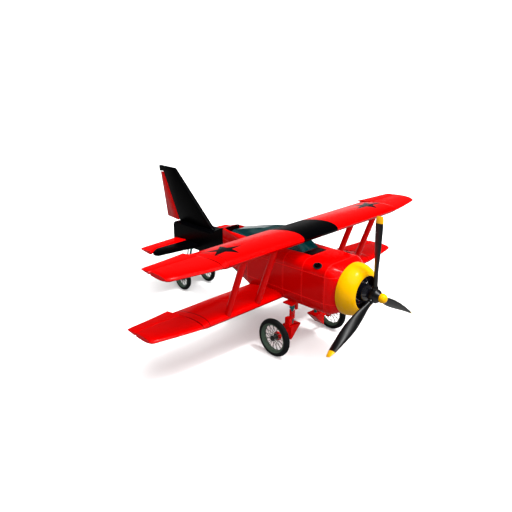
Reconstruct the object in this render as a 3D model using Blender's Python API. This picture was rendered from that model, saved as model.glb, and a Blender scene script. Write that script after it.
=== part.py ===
"""Single-seat cabin biplane with a radial engine, three-bladed propeller and wire wheels.

Metres. The aircraft is modelled level, nose towards -Y, starboard wing towards -X and +Z up, with
y = 0 just behind the lower wing. The empty "airframe" then tips it back onto its tail wheels.
"""
import bpy
import bmesh
from math import acos, asin, atan2, cos, hypot, pi, radians, sin, sqrt
from mathutils import Matrix, Vector

# Clearances
GAP = 0.0003             # between solids that touch
RUN = 0.006              # between solids that move past each other

# Fuselage: a box with vertical sides, a flat deck and belly, and rounded corners between them
BODY_HALF = 0.475        # half width at the vertical sides
DECK_HALF = 0.300        # half width of the flat deck
BELLY_HALF = 0.300       # half width of the flat belly
DECK_Z = 0.500
BELLY_Z = -0.365
SIDE_TOP_Z = 0.320
SIDE_LOW_Z = -0.140
CORNER_STEPS = 5         # faces round each corner
NOSE_Y = -1.690          # seam between the nose bay and the cowl's adapter
FIREWALL_Y = -1.220      # seam between the nose bay and the cabin
CABIN_END_Y = 0.060      # seam between the cabin and the tapered bay behind it
NECK_Y = 1.015           # seam between the tapered bay and the black tail boom
TAIL_Y = 2.525           # the boom's square end
WALL = 0.030             # thickness of the cabin's walls with their frames
NECK_HALF = 0.190
NECK_TOP_Z = 0.480
NECK_LOW_Z = -0.170
TAIL_TOP_Z = 0.293
TAIL_LOW_Z = -0.150

# Cowl and engine, round the thrust line
THRUST_Z = 0.067
COWL_RADIUS = 0.442
COWL_BACK_Y = -1.885
COWL_FRONT_Y = -2.172
COWL_MOUTH = 0.285       # radius of the open front
COWL_WALL = 0.022
ENGINE_CYLINDERS = 9
CYLINDER_RADIUS = 0.056
CYLINDER_TOP = 0.362     # the cylinder heads' distance from the thrust line
CRANKCASE_RADIUS = 0.165
CRANKCASE_FRONT_Y = -2.245
SHAFT_RADIUS = 0.045

# Propeller
PROP_Y = -2.330
PROP_RADIUS = 1.300
BLADES = 3
HUB_RADIUS = 0.116
SPINNER_RADIUS = 0.080
SPINNER_NOSE = 0.0836     # length of its rounded front
SPINNER_Y = -2.470
# The blade's sections: (share of the radius, chord, thickness, angle from the disc in degrees)
BLADE_SECTIONS = (
    (0.04, 0.078, 0.074, 22), (0.15, 0.088, 0.072, 25), (0.30, 0.147, 0.070, 34),
    (0.40, 0.173, 0.073, 41), (0.50, 0.188, 0.074, 50), (0.60, 0.186, 0.073, 57),
    (0.70, 0.170, 0.072, 66), (0.80, 0.149, 0.068, 79), (0.90, 0.132, 0.056, 95),
    (0.965, 0.118, 0.034, 108), (1.00, 0.094, 0.012, 113),
)

# Wings
HALF_SPAN = 3.050
CENTRE_HALF = 0.430      # half width of the black centre section
JOINT_X = 2.185          # where the outer panels start
CHORD = 0.800
SECTION_THICK = 0.183
UPPER_LE = Vector((0.0, -1.220, 0.822))
LOWER_LE = Vector((0.0, -0.753, -0.294))
TE_DROP = 0.008          # the trailing edge is lower than the leading edge by this
OUTER_CHORD = 0.915
OUTER_THICK = 0.120
TIP_FRONT_STEP = 0.175   # the tip's leading edge lies this far behind the root's
TIP_CHORD = 0.625
TIP_THICK = 0.104
TIP_TE_DROP = -0.014     # at the tip the trailing edge is the higher one
OUTER_DROP = 0.010       # how far the outer panel's nose falls from its root to its tip
AILERON_SHARE = 0.667    # share of the outer panel's root chord in front of the aileron's hinge
SECTION_POINTS = 9       # points along each side of a wing's section

HINGE_PADS = (0.12, 0.50, 0.88)   # shares of a moving surface's span where its hinges are
PAD_HALF = 0.020         # half their width along the hinge
PAD_RISE = 0.010         # half their height
PAD_DEPTH = 0.060

# Struts between the wings, each a round tube
STRUT_RADIUS = 0.054
STRUT_X = (1.647, 0.976)
STRUT_FOOT = (-0.683, -0.30)
STRUT_HEAD = (-1.098, 0.80)

# Tail surfaces
FIN_HALF = 0.034
RUDDER_HALF = 0.033      # half the rudder's thickness, and the radius of its round nose
FIN_FOOT = (1.468, 0.311)
FIN_TIP_FRONT = (2.638, 1.350)
FIN_TIP_REAR = (3.138, 1.342)
RUDDER_TOP_REAR = (3.116, 1.214)
RUDDER_TOP_FRONT = (2.995, 1.232)
RUDDER_LOW_REAR = (2.937, 0.296)
RUDDER_LOW_FRONT = (2.528, 0.300)
STAB_Z = -0.037
STAB_HALF_SPAN = 1.135
STAB_ROOT_LE_Y = 1.720
STAB_TIP_LE_Y = 1.850
STAB_THICK = 0.075
ELEVATOR_HINGE_Y = 2.150
ELEVATOR_ROOT_TE_Y = 2.470
ELEVATOR_TIP_TE_Y = 2.395
HORN_X = 0.960           # the elevator's horn starts here
HORN_FRONT_Y = 2.000

# Main gear
MAIN_HUB = Vector((0.758, -0.882, -0.915))
MAIN_RADIUS = 0.340
TYRE_SECTION = 0.062     # radius of the main tyre's round section
SPOKES = 18
SPOKE_RADIUS = 0.0052
LEG_X = 0.315
LEG_Y = -0.882
PLATE_Z = (-0.407, -0.377)     # the plate under the fuselage that the leg hangs from
PLATE_X = (0.245, 0.445)
GEAR_DEPTH = 0.100             # half the depth of the plate and of the yoke
COLLAR_LOW_Z = -0.533
SPRING_LOW_Z = -0.719
SPRING_RADIUS = 0.041
SPRING_WIRE = 0.009
SPRING_TURNS = 5.5
YOKE_X = (0.195, 0.445)
YOKE_Z = (-1.036, -0.793)
DAMPER_TOP_Z = -0.655

# Tail gear
TAIL_HUB = Vector((0.326, 2.105, -0.807))
TAIL_RADIUS = 0.236
TAIL_TYRE_SECTION = 0.048
TAIL_SPOKES = 12
TAIL_LEG_TUBE = 0.022

# Side vents
VENT_CENTRE = Vector((0.395, -1.490, 0.436))
VENT_LONG = 0.088        # half its length along the fuselage
VENT_WIDE = 0.061
VENT_RISE = 0.034
VENT_SIDES = 20

# Canopy: (y, half width at the sill, half width of the roof, roof z)
CANOPY_STATIONS = (
    (-0.990, 0.205, 0.195, 0.512),
    (-0.640, 0.245, 0.165, 0.735),
    (-0.400, 0.270, 0.160, 0.770),
    (CABIN_END_Y, 0.285, 0.140, 0.692),
    (0.735, 0.225, 0.150, 0.512),
)
SHELF_Y = 0.430          # behind this the hollow under the canopy is only as deep as its shelf
SHELF_Z = 0.395
WELL_END_Y = 0.965       # the hollow's rear end
WELL_RIM = 0.030         # the rim beside the hollow behind the canopy
BULKHEAD_Y = 0.950       # front of the upright plate that closes the hollow
SILL = 0.025             # the deck's rim inside the canopy's foot
GLASS = 0.008

# Cockpit
SEAT_Y = -0.215
SEAT_WIDTH = 0.400
SEAT_Z = 0.030
SEAT_BACK_Z = 0.480
FLOOR_Z = BELLY_Z + WALL


def clear_scene():
    for item in list(bpy.data.objects):
        bpy.data.objects.remove(item, do_unlink=True)


def collection(name):
    made = bpy.data.collections.new(name)
    bpy.context.scene.collection.children.link(made)
    return made


def paint(name, colour, roughness=0.35, metallic=0.0, alpha=1.0):
    material = bpy.data.materials.new(name)
    material.use_nodes = True
    shader = material.node_tree.nodes["Principled BSDF"]
    shader.inputs["Base Color"].default_value = (*colour, 1.0)
    shader.inputs["Roughness"].default_value = roughness
    shader.inputs["Metallic"].default_value = metallic
    shader.inputs["Alpha"].default_value = alpha
    return material


clear_scene()
PARTS = collection("biplane")
CUTTERS = collection("cutters")
RED = paint("red_paint", (0.80, 0.005, 0.005), 0.30)
BLACK = paint("black_paint", (0.006, 0.006, 0.007), 0.25)
YELLOW = paint("yellow_paint", (0.95, 0.52, 0.01), 0.28)
RUBBER = paint("tyre_rubber", (0.010, 0.010, 0.012), 0.75)
STEEL = paint("grey_steel", (0.20, 0.24, 0.23), 0.35, 0.9)
GLASS_TINT = paint("tinted_glass", (0.02, 0.20, 0.22), 0.05, 0.0, 0.35)
DARK_METAL = paint("dark_metal", (0.03, 0.04, 0.04), 0.40, 0.7)
LEATHER = paint("seat_leather", (0.10, 0.045, 0.02), 0.55)


def new_object(name, mesh, material, where=None):
    made = bpy.data.objects.new(name, mesh)
    (where or PARTS).objects.link(made)
    if material:
        mesh.materials.append(material)
    return made


def as_cutter(piece):
    piece.hide_render = True
    piece.display_type = "WIRE"
    return piece


def finish_bmesh(bm, name, material, where=None, origin=None):
    """Turns a bmesh into an object, with its faces pointing out and its origin where asked."""
    bmesh.ops.recalc_face_normals(bm, faces=bm.faces)
    if origin is not None:
        bmesh.ops.translate(bm, verts=bm.verts, vec=-Vector(origin))
    mesh = bpy.data.meshes.new(name)
    bm.to_mesh(mesh)
    bm.free()
    mesh.shade_smooth()
    mesh.set_sharp_from_angle(angle=radians(35))
    made = new_object(name, mesh, material, where)
    if origin is not None:
        made.location = origin
    return made


def loft(name, rings, material, where=None, origin=None):
    """A closed solid through rings that have the same number of points."""
    bm = bmesh.new()
    loops = []
    for ring in rings:
        verts = [bm.verts.new(point) for point in ring]
        loops.append([bm.edges.new((verts[i - 1], verts[i])) for i in range(len(verts))])
        ends = verts
        if len(loops) == 1:
            first = verts
    for one, two in zip(loops, loops[1:]):
        bmesh.ops.bridge_loops(bm, edges=one + two)
    bm.faces.new(first)
    bm.faces.new(ends)
    return finish_bmesh(bm, name, material, where, origin)


def box(name, low, high, material, where=None, bevel=0.0):
    bm = bmesh.new()
    low, high = Vector(low), Vector(high)
    bmesh.ops.create_cube(bm, size=1.0)
    bmesh.ops.scale(bm, vec=high - low, verts=bm.verts)
    bmesh.ops.translate(bm, vec=(low + high) / 2, verts=bm.verts)
    if bevel:
        bmesh.ops.bevel(bm, geom=list(bm.edges), offset=bevel, segments=2, affect="EDGES", profile=0.5)
    return finish_bmesh(bm, name, material, where)


def cylinder(name, start, end, radius, material, sides=20, end_radius=None, where=None):
    """A round bar from start to end, or a cone if it has an end radius."""
    start, end = Vector(start), Vector(end)
    along = end - start
    bm = bmesh.new()
    bmesh.ops.create_cone(bm, cap_ends=True, segments=sides, radius1=radius,
                          radius2=radius if end_radius is None else end_radius, depth=along.length)
    turn = along.to_track_quat("Z", "Y").to_matrix().to_4x4()
    bmesh.ops.transform(bm, matrix=Matrix.Translation((start + end) / 2) @ turn, verts=bm.verts)
    return finish_bmesh(bm, name, material, where)


def turned(name, profile, axis, centre, material, steps=32, where=None):
    """A solid of revolution. Each profile point is (distance along the axis, radius)."""
    bm = bmesh.new()
    axis = Vector(axis).normalized()
    side = axis.orthogonal().normalized()
    centre = Vector(centre)
    verts = [bm.verts.new(centre + axis * along + side * radius) for along, radius in profile]
    edges = [bm.edges.new((verts[i - 1], verts[i])) for i in range(1, len(verts))]
    if profile[0][1] > 0 and profile[-1][1] > 0:
        edges.append(bm.edges.new((verts[-1], verts[0])))
    bmesh.ops.spin(bm, geom=verts + edges, cent=centre, axis=axis, angle=2 * pi, steps=steps,
                   use_merge=True, use_duplicate=False)
    bmesh.ops.remove_doubles(bm, verts=bm.verts, dist=0.00005)
    return finish_bmesh(bm, name, material, where)


def prism(name, outline, axis, low, high, material, where=None, bevel=0.0, origin=None):
    """A flat outline of (a, b) points, pushed along an axis from low to high."""
    place = {"x": lambda a, b, c: (c, a, b), "y": lambda a, b, c: (a, c, b),
             "z": lambda a, b, c: (a, b, c)}[axis]
    bm = bmesh.new()
    face = bm.faces.new([bm.verts.new(place(a, b, low)) for a, b in outline])
    pushed = bmesh.ops.extrude_face_region(bm, geom=[face])
    moved = [item for item in pushed["geom"] if isinstance(item, bmesh.types.BMVert)]
    bmesh.ops.translate(bm, vec=place(0, 0, high - low), verts=moved)
    if bevel:
        bmesh.ops.bevel(bm, geom=list(bm.edges), offset=bevel, segments=2, affect="EDGES", profile=0.5)
    return finish_bmesh(bm, name, material, where, origin)


def boolean(piece, cutter, operation="DIFFERENCE"):
    """Applies a Boolean for good. The cutter is removed."""
    modifier = piece.modifiers.new("cut", "BOOLEAN")
    modifier.operation = operation
    modifier.solver = "EXACT"
    modifier.object = cutter
    bpy.context.view_layer.update()
    shape = bpy.data.meshes.new_from_object(
        piece.evaluated_get(bpy.context.evaluated_depsgraph_get()))
    piece.modifiers.clear()
    old = piece.data
    piece.data = shape
    bpy.data.meshes.remove(old)
    bpy.data.objects.remove(cutter, do_unlink=True)
    return piece


def tube(name, points, radius, material, smooth=False, resolution=2, where=None):
    """A round bar along points, made a mesh with welded caps so that it can be joined."""
    curve = bpy.data.curves.new(name, "CURVE")
    curve.dimensions = "3D"
    curve.bevel_depth = radius
    curve.bevel_resolution = resolution
    curve.use_fill_caps = True
    curve.render_resolution_u = 0
    spline = curve.splines.new("POLY")
    spline.points.add(len(points) - 1)
    for spot, point in zip(spline.points, points):
        spot.co = (*point, 1.0)
    spline.use_smooth = smooth
    rough = bpy.data.objects.new(name + "_curve", curve)
    (where or PARTS).objects.link(rough)
    bpy.context.view_layer.update()
    mesh = bpy.data.meshes.new_from_object(
        rough.evaluated_get(bpy.context.evaluated_depsgraph_get()))
    bm = bmesh.new()
    bm.from_mesh(mesh)
    bmesh.ops.remove_doubles(bm, verts=bm.verts, dist=0.00005)
    bpy.data.objects.remove(rough, do_unlink=True)
    bpy.data.curves.remove(curve)
    bpy.data.meshes.remove(mesh)
    return finish_bmesh(bm, name, material, where)


def add_to(piece, *others):
    """Joins overlapping pieces into one closed body."""
    for other in others:
        boolean(piece, other, "UNION")
    return piece


def mirrored(piece, name):
    """The same piece on the other side of the aircraft, with a mesh of its own."""
    mesh = piece.data.copy()
    mesh.transform(Matrix.Scale(-1, 4, (1, 0, 0)))
    mesh.flip_normals()
    mesh.name = name
    made = bpy.data.objects.new(name, mesh)
    PARTS.objects.link(made)
    made.location = (-piece.location.x, piece.location.y, piece.location.z)
    return made


def both_sides(piece, stem):
    """Names a port piece and makes its starboard twin."""
    piece.name = stem + "_port"
    return piece, mirrored(piece, stem + "_starboard")


# Fuselage sections

def body_ring(y, half, deck_half, belly_half, deck, belly, side_top, side_low, grow=0.0):
    """Points round a fuselage section at y, from the deck's port corner round to starboard."""
    quarter = []
    for i in range(CORNER_STEPS + 1):
        angle = pi / 2 * i / CORNER_STEPS
        quarter.append((deck_half + grow + (half - deck_half) * sin(angle),
                        side_top + grow + (deck - side_top) * cos(angle)))
    for i in range(CORNER_STEPS + 1):
        angle = pi / 2 * i / CORNER_STEPS
        quarter.append((belly_half + grow + (half - belly_half) * cos(angle),
                        side_low - grow - (side_low - belly) * sin(angle)))
    port = [(x, y, z) for x, z in quarter]
    starboard = [(-x, y, z) for x, z in reversed(quarter)]
    return port + starboard


def box_ring(y, inset=0.0, grow=0.0):
    """The main fuselage section, or the same section inside a wall."""
    return body_ring(y, BODY_HALF - inset, DECK_HALF - inset * 0.5, BELLY_HALF - inset * 0.5,
                     DECK_Z - inset, BELLY_Z + inset, SIDE_TOP_Z - inset * 0.5,
                     SIDE_LOW_Z + inset * 0.5, grow)


def taper_ring(y, inset=0.0):
    """The bay behind the cabin: it narrows from the cabin's section to the neck's."""
    share = (y - CABIN_END_Y) / (NECK_Y - CABIN_END_Y)
    eased = share * (1.25 - 0.25 * share)

    def mix(a, b, s=eased):
        return a + (b - a) * s

    half, deck = mix(BODY_HALF, NECK_HALF), deck_z(y)
    sharper = max(0.0, share) ** 0.35
    wide = mix(BODY_HALF - DECK_HALF, 0.030, sharper)
    high = mix(DECK_Z - SIDE_TOP_Z, 0.030, sharper)
    return body_ring(y, half - inset, half - wide - inset, mix(BELLY_HALF, NECK_HALF - 0.030) - inset,
                     deck - inset, mix(BELLY_Z, NECK_LOW_Z, share) + inset, deck - high - inset,
                     mix(SIDE_LOW_Z, NECK_LOW_Z + 0.030) + inset)


def taper_half(y):
    """Half the width of the bay behind the cabin."""
    share = (y - CABIN_END_Y) / (NECK_Y - CABIN_END_Y)
    return BODY_HALF + (NECK_HALF - BODY_HALF) * share * (1.25 - 0.25 * share)


def boom_ring(y, top, low):
    """The tail boom: upright sides and a small corner radius."""
    corner = 0.030
    return body_ring(y, NECK_HALF, NECK_HALF - corner, NECK_HALF - corner, top, low,
                     top - corner, low + corner)


def circle_ring(y, radius):
    """A circle round the thrust line with a point for each point of a fuselage section."""
    points = []
    for x, _, z in box_ring(y):
        angle = atan2(z - THRUST_Z, x)
        points.append((radius * cos(angle), y, THRUST_Z + radius * sin(angle)))
    return points


def fuselage():
    loft("nose_bay", [box_ring(NOSE_Y + GAP), box_ring(FIREWALL_Y - GAP)], RED)

    blend = []
    steps = 4
    for i in range(steps + 1):
        y = NOSE_Y - GAP + (COWL_BACK_Y + 2 * GAP - NOSE_Y) * i / steps
        share = (i / steps) ** 1.4
        square = [Vector(point) for point in box_ring(y)]
        round_one = [Vector(point) for point in circle_ring(y, COWL_RADIUS - 0.020)]
        blend.append([a.lerp(b, share) for a, b in zip(square, round_one)])
    loft("cowl_adapter", blend, RED)

    cabin = loft("cabin_shell", [box_ring(FIREWALL_Y + GAP), box_ring(CABIN_END_Y - GAP)], RED)
    room = loft("cabin_room", [box_ring(FIREWALL_Y + WALL, WALL), box_ring(CABIN_END_Y + WALL, WALL)],
                None, CUTTERS)
    boolean(cabin, room)
    bay = loft("aft_bay", [taper_ring(CABIN_END_Y + GAP + (NECK_Y - CABIN_END_Y - 2 * GAP) * i / 6)
                           for i in range(7)], RED)
    deep = [taper_ring(CABIN_END_Y - 0.01 + (SHELF_Y - CABIN_END_Y + 0.01) * i / 3, WALL) for i in range(4)]
    boolean(bay, loft("bay_room", deep, None, CUTTERS))

    # The opening in the deck under the canopy, inside its sill
    mouth = [(half - SILL, y) for y, half, _, _ in CANOPY_STATIONS]
    mouth[0] = (mouth[0][0], mouth[0][1] + SILL)
    mouth[-1] = (mouth[-1][0] + SILL - 0.010, mouth[-1][1])
    for y in (mouth[-1][1] + 0.010, BULKHEAD_Y, WELL_END_Y):
        mouth.append((taper_half(y) - WELL_RIM, y))
    outline = mouth + [(-x, y) for x, y in reversed(mouth)]
    boolean(cabin, prism("mouth", outline, "z", DECK_Z - 0.10, DECK_Z + 0.10, None, CUTTERS))
    boolean(bay, prism("mouth", outline, "z", SHELF_Z, DECK_Z + 0.10, None, CUTTERS))

    middle = (NECK_Y + TAIL_Y) / 2
    loft("tail_boom", [boom_ring(NECK_Y + GAP, NECK_TOP_Z, NECK_LOW_Z),
                       boom_ring(NECK_Y + 0.08, NECK_TOP_Z - 0.02, NECK_LOW_Z + 0.002),
                       boom_ring(1.370, TAIL_TOP_Z + 0.012, NECK_LOW_Z + 0.010),
                       boom_ring(middle, TAIL_TOP_Z + 0.004, NECK_LOW_Z + 0.012),
                       boom_ring(TAIL_Y - 0.02, TAIL_TOP_Z, TAIL_LOW_Z),
                       boom_ring(TAIL_Y, TAIL_TOP_Z - 0.02, TAIL_LOW_Z + 0.02)], BLACK)


# Cowl, engine and propeller

def cowl_and_engine():
    profile = [(COWL_BACK_Y, COWL_RADIUS - COWL_WALL)]
    shoulder = 5
    lip = (COWL_RADIUS - COWL_MOUTH)
    depth = -(COWL_FRONT_Y - COWL_BACK_Y) * 0.80
    bulge = 1.16
    outer = [(COWL_BACK_Y, COWL_RADIUS - 0.004), (COWL_BACK_Y - 0.01, COWL_RADIUS)]
    for i in range(shoulder + 1):
        angle = pi / 2 * i / shoulder
        outer.append((COWL_FRONT_Y + depth * (1 - sin(angle) ** bulge),
                      COWL_MOUTH + lip * abs(cos(angle)) ** bulge))
    inner = []
    for i in range(shoulder, -1, -1):
        angle = pi / 2 * i / shoulder
        inner.append((COWL_FRONT_Y + COWL_WALL + depth * (1 - sin(angle) ** bulge),
                      COWL_MOUTH + (lip - COWL_WALL) * abs(cos(angle)) ** bulge))
    turned("cowl_ring", profile + outer + inner, (0, 1, 0), (0, 0, THRUST_Z), YELLOW, 36)

    case = [(COWL_BACK_Y - GAP, 0.0), (COWL_BACK_Y - GAP, CRANKCASE_RADIUS)]
    case += [(CRANKCASE_FRONT_Y + 0.13, CRANKCASE_RADIUS)]
    for i in range(1, 5):
        angle = pi / 2 * i / 4
        case.append((CRANKCASE_FRONT_Y + 0.13 - 0.13 * sin(angle),
                     0.055 + (CRANKCASE_RADIUS - 0.055) * cos(angle)))
    shaft_end = CRANKCASE_FRONT_Y - RUN + GAP
    case += [(CRANKCASE_FRONT_Y, SHAFT_RADIUS), (shaft_end, SHAFT_RADIUS), (shaft_end, 0.0)]
    engine = turned("engine", case, (0, 1, 0), (0, 0, THRUST_Z), BLACK, 27)
    barrel_y = COWL_BACK_Y - CYLINDER_RADIUS - 0.040
    for i in range(ENGINE_CYLINDERS):
        angle = 2 * pi * (i + 0.5) / ENGINE_CYLINDERS + pi / 2
        out = Vector((cos(angle), 0, sin(angle)))
        centre = Vector((0, barrel_y, THRUST_Z))
        add_to(engine, cylinder("barrel", centre + out * 0.12, centre + out * CYLINDER_TOP,
                                CYLINDER_RADIUS, BLACK, 10, where=CUTTERS))


def blade_ring(share, chord, thick, degrees):
    """A section of an upright blade, an ellipse turned by the blade's angle there."""
    points = []
    sides = 12
    for i in range(sides):
        angle = 2 * pi * i / sides
        along = cos(angle) * chord / 2
        out = sin(angle) * thick / 2
        pitch = radians(degrees)
        points.append((along * cos(pitch) - out * sin(pitch), along * sin(pitch) + out * cos(pitch),
                       PROP_RADIUS * share))
    return points


def propeller():
    """The hub with its three blades, and the nose cap, turn together."""
    centre = Vector((0, PROP_Y, THRUST_Z))
    back = CRANKCASE_FRONT_Y - RUN
    front = SPINNER_Y + 0.020
    hub = turned("propeller_hub", [(back, 0.0), (back, 0.062), (PROP_Y + 0.050, HUB_RADIUS),
                                   (PROP_Y - 0.045, HUB_RADIUS), (front, 0.066), (front, 0.0)],
                 (0, 1, 0), (0, 0, THRUST_Z), BLACK, 24)
    for i in range(BLADES):
        turn = Matrix.Rotation(2 * pi * i / BLADES, 4, "Y")
        place = Matrix.Translation(centre) @ turn
        rings = [[place @ Vector(point) for point in blade_ring(*section)] for section in BLADE_SECTIONS]
        blade = loft("blade", rings, BLACK, CUTTERS)
        add_to(hub, blade)
    cap = [(front - GAP, 0.0), (front - GAP, SPINNER_RADIUS * 0.94), (SPINNER_Y, SPINNER_RADIUS)]
    for i in range(1, 5):
        angle = pi / 2 * i / 4
        radius = SPINNER_RADIUS * cos(angle) ** 0.75 if i < 4 else 0.0
        cap.append((SPINNER_Y - SPINNER_NOSE * sin(angle), radius))
    turned("spinner", cap, (0, 1, 0), (0, 0, THRUST_Z), YELLOW, 24)


# Wings

def section_thickness(t):
    """Half the thickness of a wing's section at share t of its chord, for a thickness of one."""
    return 5 * (0.2969 * sqrt(t) - 0.1260 * t - 0.3516 * t ** 2 + 0.2843 * t ** 3 - 0.1015 * t ** 4)


def wing_ring(x, front, chord, thick, drop=TE_DROP, until=1.0, grow=0.0):
    """A wing's section at x, from its top rear round the nose to its lower rear.

    until below one leaves out what lies behind that share of the chord.
    """
    upper, lower = [], []
    last = SECTION_POINTS - 1
    for i in range(SECTION_POINTS):
        t = until * (1 - cos(pi / 2 * i / last))
        half = thick * section_thickness(t) + 0.004 * t + grow
        y = front.y + chord * t - (grow if i == 0 else 0) + (grow if i == last and until == 1 else 0)
        z = front.z - drop * t
        upper.append((x, y, z + (half if i else 0)))
        lower.append((x, y, z - half))
    return list(reversed(upper)) + lower[1:]


def inner_stations(front, root_x, grow=0.0):
    """The thick inner panel: even along its span, then a short collar down to the outer panel."""
    collar = ((root_x, 1.0), (JOINT_X - 0.130, 1.0), (JOINT_X - 0.085, 0.93),
              (JOINT_X - 0.045, 0.76), (JOINT_X - GAP, OUTER_THICK / SECTION_THICK + 0.04))
    return [wing_ring(x, front, CHORD, SECTION_THICK * share, grow=grow) for x, share in collar]


def outer_front(front, x):
    """The leading edge of an outer panel at x, with a rounded tip."""
    share = (x - JOINT_X) / (HALF_SPAN - JOINT_X)
    back = TIP_FRONT_STEP * share ** 1.15 + 0.036 * max(0.0, (share - 0.93) / 0.07) ** 2
    return Vector((0, front.y + back, front.z - OUTER_DROP * share))


def outer_chord(x):
    share = (x - JOINT_X) / (HALF_SPAN - JOINT_X)
    return OUTER_CHORD + (TIP_CHORD - OUTER_CHORD) * share - 0.051 * max(0.0, (share - 0.93) / 0.07) ** 2


def outer_thick(x):
    share = (x - JOINT_X) / (HALF_SPAN - JOINT_X)
    return OUTER_THICK + (TIP_THICK - OUTER_THICK) * share - 0.036 * max(0.0, (share - 0.93) / 0.07) ** 2


def outer_drop(x):
    share = (x - JOINT_X) / (HALF_SPAN - JOINT_X)
    return TE_DROP + (TIP_TE_DROP - TE_DROP) * share


def hinge_y(front):
    return front.y + AILERON_SHARE * OUTER_CHORD


def hinge_z(front, x):
    """The aileron's hinge is a straight line in the middle of the panel."""
    share = (x - JOINT_X) / (HALF_SPAN - JOINT_X)
    return front.z - outer_drop(x) * AILERON_SHARE - OUTER_DROP * share


def aileron_half(x, front):
    """Half the panel's thickness at the aileron's hinge."""
    start = outer_front(front, x)
    t = (hinge_y(front) - start.y) / outer_chord(x)
    return outer_thick(x) * section_thickness(t) + 0.004 * t


def outer_xs():
    span = HALF_SPAN - JOINT_X
    return [JOINT_X + GAP + span * share for share in (0.0, 0.25, 0.5, 0.75, 0.93, 0.965)] + [HALF_SPAN]


def outer_panel(stem, front):
    """The outer panel's fixed front, its flat back just clear of the aileron's round nose."""
    y = hinge_y(front)
    nose = aileron_half(JOINT_X, front)
    rings = []
    for x in outer_xs():
        start = outer_front(front, x)
        until = (y - nose - RUN - start.y) / outer_chord(x)
        rings.append(wing_ring(x, start, outer_chord(x), outer_thick(x), outer_drop(x), until))
    panel = loft(stem, rings, RED)
    for share in HINGE_PADS:
        x = JOINT_X + (HALF_SPAN - JOINT_X) * share
        middle = hinge_z(front, x)
        back = y - aileron_half(x - PAD_HALF, front) - GAP
        add_to(panel, box("pad", (x - PAD_HALF, back - PAD_DEPTH, middle - PAD_RISE),
                          (x + PAD_HALF, back, middle + PAD_RISE), RED, CUTTERS))
    both_sides(panel, stem)


def aileron(stem, front):
    """The rear third of an outer panel. Its round nose is centred on its hinge."""
    y = hinge_y(front)
    rings = []
    for x in outer_xs():
        x = max(x, JOINT_X + RUN)
        half = aileron_half(x, front)
        start = outer_front(front, x)
        mid = hinge_z(front, x)
        tail_y = start.y + outer_chord(x)
        tail_z = start.z - outer_drop(x)
        ring = [(x, tail_y, tail_z + 0.004)]
        for i in range(7):
            angle = pi / 2 + pi * i / 6
            ring.append((x, y + half * cos(angle), mid + half * sin(angle)))
        ring.append((x, tail_y, tail_z - 0.004))
        rings.append(ring)
    both_sides(loft(stem, rings, RED, origin=(JOINT_X, y, hinge_z(front, JOINT_X))), stem)


def fuselage_cutter():
    """The fuselage's skin, grown by the gap between solids that touch."""
    rings = [box_ring(NOSE_Y, grow=GAP), box_ring(CABIN_END_Y + 0.2, grow=GAP)]
    return as_cutter(loft("skin_cutter", rings, None, CUTTERS))


def wings():
    front = UPPER_LE
    loft("upper_wing_centre", [wing_ring(-CENTRE_HALF, front, CHORD, SECTION_THICK),
                               wing_ring(CENTRE_HALF, front, CHORD, SECTION_THICK)], BLACK)
    both_sides(loft("upper_inner", inner_stations(front, CENTRE_HALF + GAP), RED), "upper_wing_inner")
    outer_panel("upper_wing_outer", front)
    aileron("upper_aileron", front)

    front = LOWER_LE
    lower = loft("lower_inner", inner_stations(front, 0.20), RED)
    boolean(lower, fuselage_cutter())
    both_sides(lower, "lower_wing_inner")
    outer_panel("lower_wing_outer", front)
    aileron("lower_aileron", front)


def struts():
    """Each strut runs from the lower wing's top to the upper wing's underside."""
    for label, x in zip(("outer", "inner"), STRUT_X):
        strut = cylinder("strut", (x, *STRUT_FOOT), (x, *STRUT_HEAD), STRUT_RADIUS, RED, 20)
        for front in (UPPER_LE, LOWER_LE):
            boolean(strut, loft("wing_cutter", inner_stations(front, 0.5, grow=GAP), None, CUTTERS))
        both_sides(strut, "strut_" + label)


# Tail

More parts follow.
